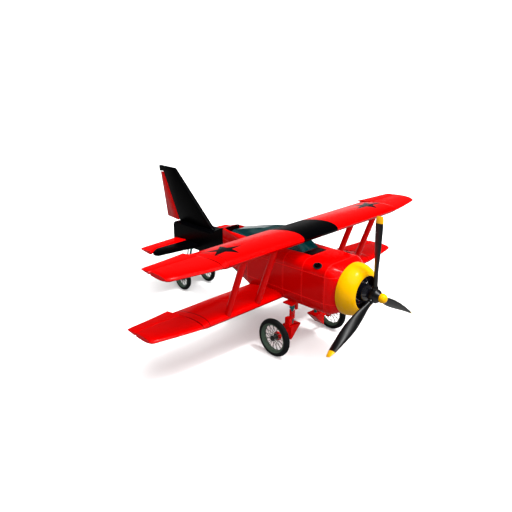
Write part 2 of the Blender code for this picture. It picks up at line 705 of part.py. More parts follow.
def tail():
    axis = Vector((0, RUDDER_TOP_FRONT[0] - RUDDER_LOW_FRONT[0],
                   RUDDER_TOP_FRONT[1] - RUDDER_LOW_FRONT[1])).normalized()
    across = Vector((0, axis.z, -axis.y))
    foot = Vector((0, *RUDDER_LOW_FRONT)) + across * FIN_HALF
    head = Vector((0, *RUDDER_TOP_FRONT)) + across * FIN_HALF
    post = -across * (FIN_HALF + RUN)
    low_post, top_post = foot + post, head + post
    cap_y = RUDDER_TOP_REAR[0] + 0.004
    cap_z = RUDDER_TOP_FRONT[1] + 0.006
    low_z = TAIL_TOP_Z + GAP
    base_y = low_post.y + (low_z - low_post.z) * axis.y / axis.z
    outline = [FIN_FOOT, FIN_TIP_FRONT, FIN_TIP_REAR, (cap_y, cap_z - 0.012),
               (top_post.y + 0.004, cap_z), (top_post.y, top_post.z - 0.002), (base_y, low_z)]
    outline[0] = (FIN_FOOT[0], low_z)
    fin = prism("fin", outline, "x", -FIN_HALF, FIN_HALF, BLACK, bevel=0.012)
    boolean(fin, fin_foot_cutter())
    for share in HINGE_PADS:
        centre = foot.lerp(head, share) - across * (RUDDER_HALF + GAP)
        rings = []
        for along in (-PAD_HALF, PAD_HALF):
            middle = centre + axis * along
            side = Vector((PAD_RISE, 0, 0))
            rings.append([middle + side, middle - side, middle - side - across * 0.050,
                          middle + side - across * 0.050])
        add_to(fin, loft("pad", rings, BLACK, CUTTERS))

    edge = Vector((0, *RUDDER_LOW_REAR))
    top_edge = Vector((0, *RUDDER_TOP_REAR))
    rings = []
    for start, end in ((foot, edge), (head - axis * 0.004, top_edge - Vector((0, 0, 0.003)))):
        back = (end - start).normalized()
        ring = [end + Vector((0.007, 0, 0))]
        for i in range(7):
            angle = pi / 2 + pi * i / 6
            ring.append(start + (Vector((sin(angle), 0, 0)) + across * cos(angle)) * RUDDER_HALF)
        ring.append(end - Vector((0.007, 0, 0)))
        rings.append(ring)
    loft("rudder", rings, RED, origin=foot)

    half = STAB_THICK / 2
    inboard = NECK_HALF + GAP
    hinge_gap = half + RUN
    stab = [(inboard, STAB_ROOT_LE_Y), (inboard, ELEVATOR_HINGE_Y - hinge_gap),
            (HORN_X - 0.012, ELEVATOR_HINGE_Y - hinge_gap), (STAB_HALF_SPAN - 0.016, HORN_FRONT_Y - 0.012),
            (STAB_HALF_SPAN - 0.010, STAB_TIP_LE_Y + 0.060), (STAB_HALF_SPAN - 0.055, STAB_TIP_LE_Y)]
    piece = prism("stab", stab, "z", STAB_Z - half, STAB_Z + half, BLACK, bevel=0.022)
    for share in HINGE_PADS:
        x = inboard + (HORN_X - inboard) * share
        back = ELEVATOR_HINGE_Y - (half - 0.002) - GAP
        add_to(piece, box("pad", (x - PAD_HALF, back - PAD_DEPTH, STAB_Z - PAD_RISE),
                          (x + PAD_HALF, back, STAB_Z + PAD_RISE), BLACK, CUTTERS))
    both_sides(piece, "stabiliser")
    elevator()


def fin_foot_cutter():
    """The boom's hump in front of the fin, grown by the gap."""
    rings = [boom_ring(NECK_Y, NECK_TOP_Z + GAP, NECK_LOW_Z),
             boom_ring(1.370, TAIL_TOP_Z + 0.012 + GAP, NECK_LOW_Z),
             boom_ring((NECK_Y + TAIL_Y) / 2, TAIL_TOP_Z + 0.004 + GAP, NECK_LOW_Z),
             boom_ring(TAIL_Y - 0.02, TAIL_TOP_Z + GAP, TAIL_LOW_Z),
             boom_ring(TAIL_Y + 0.1, TAIL_TOP_Z - 0.02, TAIL_LOW_Z)]
    return as_cutter(loft("boom_cutter", rings, None, CUTTERS))


def elevator():
    """Its round nose is centred on the hinge. A horn at the tip reaches ahead of it."""
    half = STAB_THICK / 2 - 0.002
    hinge = ELEVATOR_HINGE_Y
    inboard = NECK_HALF + RUN

    def ring(x, tail_y, nose_y):
        points = [(x, tail_y, STAB_Z + 0.008)]
        for i in range(7):
            angle = pi / 2 + pi * i / 6
            points.append((x, nose_y + half * cos(angle), STAB_Z + half * sin(angle)))
        points.append((x, tail_y, STAB_Z - 0.008))
        return points

    def tail_at(x):
        return ELEVATOR_ROOT_TE_Y + (ELEVATOR_TIP_TE_Y - ELEVATOR_ROOT_TE_Y) * x / STAB_HALF_SPAN

    rings = [ring(inboard, tail_at(inboard), hinge), ring(HORN_X, tail_at(HORN_X), hinge),
             ring(STAB_HALF_SPAN - 0.030, tail_at(STAB_HALF_SPAN) - 0.010, HORN_FRONT_Y + 0.060),
             ring(STAB_HALF_SPAN, tail_at(STAB_HALF_SPAN) - 0.050, HORN_FRONT_Y + 0.060)]
    both_sides(loft("elev", rings, RED, origin=(inboard, hinge, STAB_Z)), "elevator")


# Wheels and gear

def wheel(stem, hub, radius, section, spokes, hub_half, bore):
    """A tyre on a steel rim with wire spokes. The tyre is one node and the wheel another."""
    seat = radius - 1.2 * section
    bead = pi - acos(0.2)
    arc = 8
    profile = []
    for i in range(arc + 1):
        angle = bead - 2 * bead * i / arc
        profile.append((section * 0.86 * sin(angle), radius - section + section * cos(angle)))
    tyre = turned(stem + "_tyre", profile, (1, 0, 0), hub, RUBBER, 32)
    wide, deep, lip = section * 0.80, seat - section * 0.60, seat - section * 0.38
    rim = turned(stem + "_rim", [(-wide, seat - GAP), (-wide, lip), (-wide * 0.6, deep), (wide * 0.6, deep),
                                 (wide, lip), (wide, seat - GAP)], (1, 0, 0), hub, STEEL, 32, CUTTERS)
    barrel = cylinder(stem + "_wheel", hub - Vector((hub_half, 0, 0)), hub + Vector((hub_half, 0, 0)),
                      0.10 * radius + 0.008, STEEL, 16)
    for i in range(spokes):
        angle = 2 * pi * (i + 0.5) / spokes
        side = 1 if i % 2 else -1
        out = Vector((0, cos(angle), sin(angle)))
        start = hub + Vector((side * hub_half * 0.72, 0, 0)) + out * 0.08 * radius
        add_to(barrel, cylinder("spoke", start, hub + out * (seat - section * 0.45), SPOKE_RADIUS, STEEL, 6,
                                where=CUTTERS))
    add_to(barrel, rim)
    boolean(barrel, cylinder("bore", hub - Vector((0.2, 0, 0)), hub + Vector((0.2, 0, 0)), bore, None, 16,
                             where=CUTTERS))
    return tyre, barrel


def spring():
    """A coil round the leg that rests on the leg's seat and carries its collar."""
    low, high = SPRING_LOW_Z + GAP, COLLAR_LOW_Z - GAP
    per_turn = 10
    flat = 0.4               # turns at each end that don't climb
    count = round(SPRING_TURNS * per_turn)
    coil = []
    for i in range(count + 1):
        turn = i / per_turn
        climb = min(max(turn - flat, 0.0), SPRING_TURNS - 2 * flat) / (SPRING_TURNS - 2 * flat)
        coil.append((LEG_X + (SPRING_RADIUS - SPRING_WIRE) * cos(2 * pi * turn),
                     LEG_Y + (SPRING_RADIUS - SPRING_WIRE) * sin(2 * pi * turn),
                     low + SPRING_WIRE + (high - low - 2 * SPRING_WIRE) * climb))
    piece = tube("spring", coil, SPRING_WIRE, RED, resolution=1)
    heights = [vert.co.z for vert in piece.data.vertices]
    foot, size = min(heights), max(heights) - min(heights)
    for vert in piece.data.vertices:
        vert.co.z = low + (vert.co.z - foot) * (high - low) / size
    return piece


def gear():
    """A plate under the fuselage, a sprung leg, and a yoke that carries the wheel's axle."""
    front, rear = LEG_Y - GEAR_DEPTH, LEG_Y + GEAR_DEPTH
    low, top = PLATE_Z
    pad = box("pad", (PLATE_X[0], front, low), (PLATE_X[1], rear, top), RED, bevel=0.004)
    neck = box("neck", (PLATE_X[0] + 0.004, front + 0.030, top - 0.010),
               (LEG_X + 0.035, rear - 0.030, BELLY_Z + 0.10), RED, CUTTERS)
    boolean(neck, fuselage_cutter())
    tab = box("tab", (PLATE_X[0] + 0.030, front + 0.001, low - 0.098),
              (PLATE_X[0] + 0.085, front + 0.030, top - 0.010), RED, CUTTERS)
    add_to(pad, neck, tab)
    both_sides(pad, "gear_pad")

    leg = cylinder("leg", (LEG_X, LEG_Y, YOKE_Z[1] + GAP), (LEG_X, LEG_Y, low - GAP), 0.020, DARK_METAL, 16)
    add_to(leg, cylinder("collar", (LEG_X, LEG_Y, low - GAP), (LEG_X, LEG_Y, COLLAR_LOW_Z + 0.030), 0.049,
                         DARK_METAL, 20, where=CUTTERS),
           cylinder("taper", (LEG_X, LEG_Y, COLLAR_LOW_Z + 0.031), (LEG_X, LEG_Y, COLLAR_LOW_Z), 0.049,
                    DARK_METAL, 20, 0.030, CUTTERS),
           cylinder("cup", (LEG_X, LEG_Y, SPRING_LOW_Z), (LEG_X, LEG_Y, YOKE_Z[1] + GAP), 0.027,
                    DARK_METAL, 20, where=CUTTERS),
           cylinder("seat", (LEG_X, LEG_Y, SPRING_LOW_Z - 0.012), (LEG_X, LEG_Y, SPRING_LOW_Z), 0.040,
                    DARK_METAL, 20, where=CUTTERS))
    both_sides(leg, "gear_leg")

    both_sides(spring(), "gear_spring")

    inner, outer = YOKE_X
    foot, crown = YOKE_Z
    rings = []
    for y in (front, rear):
        rings.append([(inner, y, crown), (outer, y, crown), (outer, y, foot), (outer - 0.018, y, foot),
                      (inner, y, crown - 0.012)])
    yoke = loft("yoke", rings, RED)
    hub = MAIN_HUB
    axle_end = hub.x - 0.067
    add_to(yoke, cylinder("axle", (outer - 0.05, hub.y, hub.z), (axle_end, hub.y, hub.z), 0.028, RED, 16,
                          where=CUTTERS),
           cylinder("brake", (axle_end - 0.035, hub.y, hub.z), (axle_end, hub.y, hub.z), 0.078, RED, 20,
                    where=CUTTERS),
           cylinder("spindle", (axle_end - 0.02, hub.y, hub.z), (hub.x + 0.070, hub.y, hub.z), 0.014, RED,
                    12, where=CUTTERS),
           box("damper", (LEG_X + 0.047, LEG_Y - 0.050, crown - 0.02),
               (outer - 0.001, LEG_Y + 0.050, DAMPER_TOP_Z), RED, CUTTERS))
    both_sides(yoke, "gear_yoke")

    tyre, rim = wheel("main", hub, MAIN_RADIUS, TYRE_SECTION, SPOKES, 0.060, 0.0150)
    for piece, name in ((tyre, "main_tyre"), (rim, "main_wheel")):
        set_origin(piece, hub)
        both_sides(piece, name)


def tail_gear():
    hub = TAIL_HUB
    top = Vector((NECK_HALF - 0.070, hub.y - 0.060, TAIL_LOW_Z - 0.002))
    knee = Vector((hub.x - 0.075, hub.y, hub.z))
    leg = box("plate", (top.x - 0.05, top.y - 0.07, TAIL_LOW_Z - 0.030), (top.x + 0.05, top.y + 0.13,
                                                                          TAIL_LOW_Z + 0.06),
              DARK_METAL)
    boolean(leg, boom_cutter_low())
    add_to(leg, tube("shank", [(top.x, top.y, TAIL_LOW_Z - 0.015), (knee.x, knee.y, knee.z)], TAIL_LEG_TUBE,
                     DARK_METAL, resolution=3, where=CUTTERS),
           tube("brace", [(top.x, top.y + 0.10, TAIL_LOW_Z - 0.015), (knee.x, knee.y, knee.z + 0.03)],
                0.014, DARK_METAL, where=CUTTERS),
           cylinder("stub", (knee.x - 0.025, hub.y, hub.z), (hub.x - 0.050, hub.y, hub.z), 0.030,
                    DARK_METAL, 16, where=CUTTERS),
           cylinder("spindle", (hub.x - 0.055, hub.y, hub.z), (hub.x + 0.042, hub.y, hub.z), 0.010,
                    DARK_METAL, 12, where=CUTTERS))
    both_sides(leg, "tail_leg")
    tyre, rim = wheel("tail", hub, TAIL_RADIUS, TAIL_TYRE_SECTION, TAIL_SPOKES, 0.038, 0.0110)
    for piece, name in ((tyre, "tail_tyre"), (rim, "tail_wheel")):
        set_origin(piece, hub)
        both_sides(piece, name)


def boom_cutter_low():
    """The boom's underside, grown by the gap."""
    middle = (NECK_Y + TAIL_Y) / 2
    rings = [boom_ring(NECK_Y, NECK_TOP_Z, NECK_LOW_Z - GAP),
             boom_ring(1.370, TAIL_TOP_Z, NECK_LOW_Z + 0.010 - GAP),
             boom_ring(middle, TAIL_TOP_Z, NECK_LOW_Z + 0.012 - GAP),
             boom_ring(TAIL_Y - 0.02, TAIL_TOP_Z, TAIL_LOW_Z - GAP)]
    return as_cutter(loft("boom_cutter", rings, None, CUTTERS))


def set_origin(piece, point):
    piece.data.transform(Matrix.Translation(-Vector(point)))
    piece.location = point


# Canopy and cockpit

def deck_z(y):
    return DECK_Z + (NECK_TOP_Z - DECK_Z) * max(0.0, (y - CABIN_END_Y) / (NECK_Y - CABIN_END_Y))


def canopy_ring(station, inset=0.0, drop=0.0):
    y, sill, roof, roof_z = station
    low = deck_z(y) + GAP - drop
    return [(sill - inset, y, low), (roof - inset * 0.7, y, roof_z - inset),
            (-(roof - inset * 0.7), y, roof_z - inset), (-(sill - inset), y, low)]


def canopy():
    """A tinted glass house: a sloping windscreen, sides that reach up to the wing, and a long tail."""
    front, second = CANOPY_STATIONS[0], CANOPY_STATIONS[1]
    back = (second[0] - GAP, *second[1:])
    hood = loft("canopy_glass", [canopy_ring(s) for s in CANOPY_STATIONS[1:]], GLASS_TINT)
    room = [(second[0] - 0.1, *second[1:])] + list(CANOPY_STATIONS[1:-1])
    last = CANOPY_STATIONS[-1]
    room.append((last[0] + 0.01, *last[1:]))
    boolean(hood, loft("hood_room", [canopy_ring(s, GLASS, 0.05) for s in room], None, CUTTERS))
    screen = loft("windscreen", [canopy_ring(front), canopy_ring(back)], GLASS_TINT)
    room = [(front[0] + 0.020, front[1], front[2], front[3]), (back[0] + 0.020, *back[1:])]
    boolean(screen, loft("screen_room", [canopy_ring(s, GLASS, 0.05) for s in room], None, CUTTERS))
    for piece in (hood, screen):
        boolean(piece, loft("wing_cutter", [wing_ring(x, UPPER_LE, CHORD, SECTION_THICK, grow=GAP)
                                            for x in (-CENTRE_HALF, CENTRE_HALF)], None, CUTTERS))

    rings = []
    for y in (BULKHEAD_Y, WELL_END_Y - GAP):
        half = taper_half(y) - WELL_RIM - GAP
        low, top = SHELF_Z + GAP, deck_z(BULKHEAD_Y) + 0.015
        rings.append([(half, y, low), (half, y, top - 0.012), (half - 0.012, y, top),
                      (-half + 0.012, y, top), (-half, y, top - 0.012), (-half, y, low)])
    loft("aft_bulkhead", rings, BLACK)


def cockpit():
    half = SEAT_WIDTH / 2
    front, rear = SEAT_Y - 0.200, SEAT_Y + 0.210
    seat = box("seat", (-half, front, -0.060), (half, rear - 0.010, SEAT_Z), LEATHER, bevel=0.03)
    add_to(seat, box("back", (-half, rear - 0.080, 0.0), (half, rear, SEAT_BACK_Z), LEATHER, CUTTERS, 0.03),
           box("pan", (-0.150, front + 0.060, FLOOR_Z + GAP), (0.150, rear - 0.050, -0.05), LEATHER,
               CUTTERS))

    panel_y = FIREWALL_Y + 0.20
    box("instrument_panel", (-0.260, panel_y, 0.180), (0.260, panel_y + 0.030, DECK_Z - WALL - GAP),
        BLACK, bevel=0.004)

    foot = Vector((0, SEAT_Y - 0.42, FLOOR_Z))
    bend = Vector((0, SEAT_Y - 0.36, 0.140))
    top = Vector((0, SEAT_Y - 0.345, 0.230))
    stick = cylinder("control_stick", foot + Vector((0, 0, GAP)), foot + Vector((0, 0, 0.030)), 0.035,
                     DARK_METAL, 12)
    add_to(stick, cylinder("rod", foot + Vector((0, 0, 0.020)), bend, 0.014, DARK_METAL, 12, where=CUTTERS),
           cylinder("grip", bend - Vector((0, 0, 0.010)), top, 0.022, DARK_METAL, 12, where=CUTTERS))


def side_vents():
    """A short oval outlet on each upper corner of the nose bay, with a shallow mouth."""
    out = Vector((0.62, 0, 0.78)).normalized()
    across = Vector((0, 1, 0)).cross(out)

    def oval(far, size):
        rings = []
        for i in range(VENT_SIDES):
            angle = 2 * pi * i / VENT_SIDES
            rings.append(VENT_CENTRE + out * far + Vector((0, size * VENT_LONG * cos(angle), 0))
                         + across * size * VENT_WIDE * sin(angle))
        return rings

    vent = loft("vent", [oval(-0.060, 1.0), oval(VENT_RISE - 0.006, 1.0), oval(VENT_RISE, 0.94)], BLACK)
    mouth = [oval(VENT_RISE - 0.022, 0.74), oval(VENT_RISE + 0.01, 0.74)]
    boolean(vent, loft("mouth", mouth, None, CUTTERS))
    boolean(vent, fuselage_cutter())
    both_sides(vent, "side_vent")


def stand_on_wheels():
    """Tips the aircraft back until all four wheels touch, and puts the origin below its middle."""
    rise = MAIN_HUB.z - TAIL_HUB.z
    run = MAIN_HUB.y - TAIL_HUB.y
    size = hypot(rise, run)
    pitch = pi - asin((MAIN_RADIUS - TAIL_RADIUS) / size) - atan2(rise, run)
    pitch = (pitch + pi) % (2 * pi) - pi
    airframe = bpy.data.objects.new("airframe", None)
    PARTS.objects.link(airframe)
    for piece in PARTS.objects:
        if piece.type == "MESH":
            piece.parent = airframe
    airframe.rotation_euler.x = pitch
    bpy.context.view_layer.update()
    points = [piece.matrix_world @ vert.co for piece in PARTS.objects if piece.type == "MESH"
              for vert in piece.data.vertices]
    low = Vector([min(point[i] for point in points) for i in range(3)])
    high = Vector([max(point[i] for point in points) for i in range(3)])
    airframe.location = (-(low.x + high.x) / 2, -(low.y + high.y) / 2, -low.z)
    bpy.context.view_layer.update()


fuselage()
cowl_and_engine()
propeller()
wings()
struts()
tail()
gear()
tail_gear()
canopy()
cockpit()
side_vents()
stand_on_wheels()
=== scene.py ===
# %% [markdown]
# # A small cabin biplane
#
# The aircraft was already built as a set of exact solids: wings, fuselage bays, engine, wheels and
# hinged surfaces, each in its place. This lesson dresses them. Flat plates stay as they are and only
# get a finish, and what is round or finely made on the real aircraft is modelled again with more
# detail. Every piece is tied to the body that carries it, so the propeller, the wheels and the
# control surfaces still turn.

from math import acos, cos, pi, radians, sin

import bmesh
import bpy
from mathutils import Matrix, Vector


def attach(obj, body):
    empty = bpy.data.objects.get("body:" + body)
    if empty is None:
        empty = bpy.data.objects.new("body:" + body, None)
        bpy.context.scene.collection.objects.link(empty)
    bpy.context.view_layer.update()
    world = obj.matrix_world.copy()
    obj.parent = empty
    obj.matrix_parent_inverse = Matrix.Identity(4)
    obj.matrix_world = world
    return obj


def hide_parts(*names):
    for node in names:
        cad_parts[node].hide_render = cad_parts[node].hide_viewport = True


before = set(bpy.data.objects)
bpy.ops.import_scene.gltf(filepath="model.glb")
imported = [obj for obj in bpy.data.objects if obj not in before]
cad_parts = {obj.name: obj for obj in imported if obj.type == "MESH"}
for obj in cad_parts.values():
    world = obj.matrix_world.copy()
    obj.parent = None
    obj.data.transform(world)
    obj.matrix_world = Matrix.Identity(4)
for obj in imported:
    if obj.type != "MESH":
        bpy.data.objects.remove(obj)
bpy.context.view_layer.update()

# %% [markdown]
# The aircraft is easiest to think about when it flies level, with its nose towards -Y and y = 0 near the
# rear edge of the lower wing. Parked, it leans back on its tail wheels. So pieces are modelled level, and
# one matrix carries them to where the parked aircraft stands. Their place then goes into the mesh, so
# that a pattern on object coordinates stays where it is when a wheel or an aileron turns.

# %% From level to parked
NOSE_UP = radians(-4.06469)
LEVEL_ORIGIN = Vector((0, -0.340064, 1.189587))
PARKED = Matrix.Translation(LEVEL_ORIGIN) @ Matrix.Rotation(NOSE_UP, 4, "X")


def choose(piece):
    """Makes a piece the only selected one, and the active one."""
    bpy.ops.object.select_all(action="DESELECT")
    piece.select_set(True)
    bpy.context.view_layer.objects.active = piece


def park(piece, body, finish, stands_for=()):
    """Carries a level piece to the parked aircraft, gives it its finish and ties it to its body."""
    choose(piece)
    piece.matrix_world = PARKED @ piece.matrix_world
    bpy.ops.object.transform_apply(location=True, rotation=True, scale=True)
    dress(piece, body, finish, stands_for)


def dress(piece, body, finish, stands_for=()):
    """Gives a piece its finish, ties it to its body and hides the solids that it stands for."""
    piece.data.materials.clear()
    piece.data.materials.append(finish)
    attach(piece, body)
    if stands_for:
        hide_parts(*stands_for)


print("nose up by", round(-NOSE_UP * 180 / pi, 2), "degrees")

# %% [markdown]
# ## The camera
#
# The photograph was taken from ahead and to the right of the nose, from above the upper wing. The lens is
# close to a normal one, so that the near wing tip looks as large as it does there.

# %% Camera
lens = bpy.data.cameras.new("camera")
lens.lens = 45.36
lens.sensor_width = 36.0
camera = bpy.data.objects.new("camera", lens)
camera.location = (-7.9079, -7.6614, 5.8243)
camera.rotation_euler = (1.17388, -0.05003, -0.78147)
bpy.context.scene.collection.objects.link(camera)
bpy.context.scene.camera = camera
print("camera at", [round(c, 2) for c in camera.location])

# %% [markdown]
# ## Finishes
#
# Gloss paint on aircraft skin is never perfectly even. Two shader node groups hold what all the paints
# share. The first turns object coordinates back into level ones, because seams and panel laps follow
# the fuselage and not the ground. The second makes the faint waviness of sprayed paint.

# %% Group: level coordinates


def new_group(name, inputs, outputs):
    """A shader node group with named sockets. Each is (name, socket type, value)."""
    group = bpy.data.node_groups.new(name, "ShaderNodeTree")
    for label, kind, value in inputs:
        socket = group.interface.new_socket(label, in_out="INPUT", socket_type=kind)
        socket.default_value = value
    for label, kind in outputs:
        group.interface.new_socket(label, in_out="OUTPUT", socket_type=kind)
    return group, group.nodes.new("NodeGroupInput"), group.nodes.new("NodeGroupOutput")


def link(tree, start, end):
    tree.links.new(start, end)


def sums(tree, operation, *values):
    """A Math node. Each value is a number or a socket."""
    node = tree.nodes.new("ShaderNodeMath")
    node.operation = operation
    for spot, value in zip(node.inputs, values):
        if isinstance(value, (int, float)):
            spot.default_value = value
        else:
            link(tree, value, spot)
    return node.outputs[0]


def times(tree, *values):
    return sums(tree, "MULTIPLY", *values)


def minus(tree, *values):
    return sums(tree, "SUBTRACT", *values)


def squares(tree, a, b):
    return sums(tree, "ADD", times(tree, a, a), times(tree, b, b))


def clipped(tree, value):
    """Kept between zero and one."""
    return sums(tree, "MAXIMUM", 0.0, sums(tree, "MINIMUM", 1.0, value))


level, _, level_out = new_group("level_place", [], [("Across", "NodeSocketFloat"), ("Along", "NodeSocketFloat"),
                                                    ("Up", "NodeSocketFloat")])
place = level.nodes.new("ShaderNodeTexCoord")
turn = level.nodes.new("ShaderNodeMapping")
turn.vector_type = "TEXTURE"
turn.inputs["Location"].default_value = LEVEL_ORIGIN
turn.inputs["Rotation"].default_value = (NOSE_UP, 0, 0)
parts = level.nodes.new("ShaderNodeSeparateXYZ")
link(level, place.outputs["Object"], turn.inputs["Vector"])
link(level, turn.outputs["Vector"], parts.inputs[0])
for spot, axis in zip(("Across", "Along", "Up"), ("X", "Y", "Z")):
    link(level, parts.outputs[axis], level_out.inputs[spot])
print("group", level.name)

# %% Group: sprayed paint
TONE_LOSS, SMEAR_SHARE, PEEL_HEIGHT = 0.35, 0.6, 0.00025


def noise_over(tree, place, scale, detail=2.0):
    """Noise over the given coordinates, as a socket."""
    node = tree.nodes.new("ShaderNodeTexNoise")
    node.inputs["Scale"].default_value = scale
    node.inputs["Detail"].default_value = detail
    link(tree, place, node.inputs["Vector"])
    return node.outputs["Fac"]


spray, spray_in, spray_out = new_group(
    "sprayed_paint", [("Dust", "NodeSocketFloat", 0.25), ("Smooth", "NodeSocketFloat", 0.20)],
    [("Tone", "NodeSocketFloat"), ("Roughness", "NodeSocketFloat"), ("Height", "NodeSocketFloat")])
place = spray.nodes.new("ShaderNodeTexCoord").outputs["Object"]
broad = noise_over(spray, place, 2.2, 3.0)
fine = noise_over(spray, place, 38.0, 4.0)
peel = noise_over(spray, place, 160.0)
dusty = times(spray, broad, spray_in.outputs["Dust"])
link(spray, minus(spray, 1.0, times(spray, dusty, TONE_LOSS)), spray_out.inputs["Tone"])
smear = times(spray, fine, dusty)
link(spray, sums(spray, "ADD", spray_in.outputs["Smooth"], times(spray, smear, SMEAR_SHARE)),
     spray_out.inputs["Roughness"])
link(spray, times(spray, peel, PEEL_HEIGHT), spray_out.inputs["Height"])
print("group", spray.name)

# %% [markdown]
# A panel seam is drawn as a mask: one at the line and zero away from it. Fuselage and wings both use it.

# %% Group: seam
seam, seam_in, seam_out = new_group(
    "panel_seam", [("Off", "NodeSocketFloat", 0.0), ("Width", "NodeSocketFloat", 0.004)],
    [("Mask", "NodeSocketFloat")])
away = sums(seam, "ABSOLUTE", seam_in.outputs["Off"])
edge = sums(seam, "DIVIDE", away, seam_in.outputs["Width"])
link(seam, minus(seam, 1.0, sums(seam, "MINIMUM", edge, 1.0)), seam_out.inputs["Mask"])
print("group", seam.name)

# %% [markdown]
# A finish starts as a plain material with its shader. Numbers that are the same all over are set on the
# shader itself, and only what changes over the surface is linked to it.

# %% New materials


def new_finish(name, colour, roughness=0.3, metallic=0.0, gloss=0.3, coat=0.0):
    """gloss is the specular level: low keeps a dark paint dark, because a pale floor shines in it."""
    material = bpy.data.materials.new(name)
    material.use_nodes = True
    shader = material.node_tree.nodes["Principled BSDF"]
    shader.inputs["Base Color"].default_value = (*colour, 1.0)
    shader.inputs["Roughness"].default_value = roughness
    shader.inputs["Metallic"].default_value = metallic
    shader.inputs["Specular IOR Level"].default_value = gloss
    shader.inputs["Coat Weight"].default_value = coat
    shader.inputs["Coat Roughness"].default_value = 0.05
    return material, material.node_tree, shader


def use_group(tree, group, **values):
    """Places a group in a material. Each value is a number or a socket."""
    node = tree.nodes.new("ShaderNodeGroup")
    node.node_tree = group
    for label, value in values.items():
        spot = node.inputs[label]
        if isinstance(value, (int, float)):
            spot.default_value = value
        else:
            link(tree, value, spot)
    return node.outputs


def mixed(tree, mask, first, second):
    """first where the mask is zero and second where it is one. Each is a colour or a socket."""
    node = tree.nodes.new("ShaderNodeMix")
    node.data_type = "RGBA"
    link(tree, mask, node.inputs["Factor"])
    for spot, value in ((node.inputs[6], first), (node.inputs[7], second)):
        if isinstance(value, tuple):
            spot.default_value = (*value, 1.0)
        else:
            link(tree, value, spot)
    return node.outputs[2]


def bumped(tree, shader, height, strength=1.0):
    bump = tree.nodes.new("ShaderNodeBump")
    bump.inputs["Strength"].default_value = strength
    bump.inputs["Distance"].default_value = 1.0
    link(tree, height, bump.inputs["Height"])
    link(tree, bump.outputs["Normal"], shader.inputs["Normal"])


RED = (0.62, 0.0, 0.0)
BLACK = (0.0005, 0.0005, 0.0008)
YELLOW = (0.78, 0.385, 0.0)
print("paints", RED, BLACK, YELLOW)

# %% [markdown]
# ### Painted skin
#
# All painted pieces share one recipe: a colour, darkened a little by the spray's tone, and over it the
# masks that a piece needs. The fuselage has seams, panel laps, a black belly and a black panel in front of
# the windscreen. The upper wings have a black star. So the recipe is a function, and each skin adds its
# own masks.

# %% Paint recipe


def painted(name, colour, marks=None, dust=0.25, smooth=0.15, gloss=0.09):
    """Gloss paint. marks(tree, colour) gives a colour, or its socket, and the socket of a height or None."""
    material, tree, shader = new_finish(name, colour, gloss=gloss)
    sprayed = use_group(tree, spray, Dust=dust, Smooth=smooth)
    base, relief = marks(tree, colour) if marks else (colour, None)
    tone = tree.nodes.new("ShaderNodeMix")
    tone.data_type = "RGBA"
    tone.blend_type = "MULTIPLY"
    tone.inputs["Factor"].default_value = 1.0
    if isinstance(base, tuple):
        tone.inputs[6].default_value = (*base, 1.0)
    else:
        link(tree, base, tone.inputs[6])
    link(tree, sprayed["Tone"], tone.inputs[7])
    link(tree, tone.outputs[2], shader.inputs["Base Color"])
    link(tree, sprayed["Roughness"], shader.inputs["Roughness"])
    height = sprayed["Height"]
    if relief is not None:
        height = sums(tree, "ADD", height, relief)
    bumped(tree, shader, height)
    return material


red_paint = painted("red_paint", RED)
black_paint = painted("black_paint", BLACK, dust=0.5, smooth=0.24, gloss=0.025)
yellow_paint = painted("yellow_paint", YELLOW)
print("plain paints ready")

# %% [markdown]
# ### The fuselage's marks
#
# A strap covers the joint between two bays. Seams and laps are painted a lighter red than the flat side,
# a painted highlight for the light that the strap's edge catches. The deck in front of the windscreen is
# black against glare, and the belly behind the wing is black like the tail boom. The skin inside the two
# side vents is painted black, as painted shade for their dark inside.

# %% Fuselage paint
BAY_SEAMS = (-1.690, -1.220, -0.800, 0.060)
LAPS = ((0.2952, -0.017), (-0.128, 0.0))     # height at y = 0, and its rise with y
VENT = Vector((0.395, -1.490, 0.436))
VENT_OUT = Vector((0.62, 0.0, 0.78)).normalized()
VENT_LONG, VENT_WIDE = 0.088, 0.061
# The lighter red below, and the share of it on seams and laps, are painted highlight; rivets get it too.
PAINTED_HIGHLIGHT_RED = (1.0, 0.01, 0.01)
SEAM_WIDTH, LAP_WIDTH, SEAM_HIGHLIGHT, SEAM_HEIGHT = 0.012, 0.009, 0.8, 0.0015
SIDE_ACROSS, DECK_UP = (0.15, 0.60), (0.47, 0.60)
GLARE_ALONG, GLARE_HALF = (-1.190, -0.990), 0.200
BELLY_ALONG, BELLY_TOP = (0.467, 1.2), -0.175


def inside(tree, value, low, high, soft=0.004):
    """A mask that is one between low and high."""
    up = sums(tree, "DIVIDE", minus(tree, value, low), soft)
    down = sums(tree, "DIVIDE", minus(tree, high, value), soft)
    return clipped(tree, sums(tree, "MINIMUM", up, down))


def vent_painted_shade(tree, across, along, up):
    """One inside the oval of the side vent, seen along the vent's own direction: there the skin is painted black as
    painted shade.
    """
    ahead = sums(tree, "DIVIDE", minus(tree, along, VENT.y), VENT_LONG)
    slope = minus(tree, times(tree, minus(tree, across, VENT.x), VENT_OUT.z),
                  times(tree, minus(tree, up, VENT.z), VENT_OUT.x))
    slope = sums(tree, "DIVIDE", slope, VENT_WIDE)
    return inside(tree, squares(tree, ahead, slope), -1.0, 1.0, 0.02)


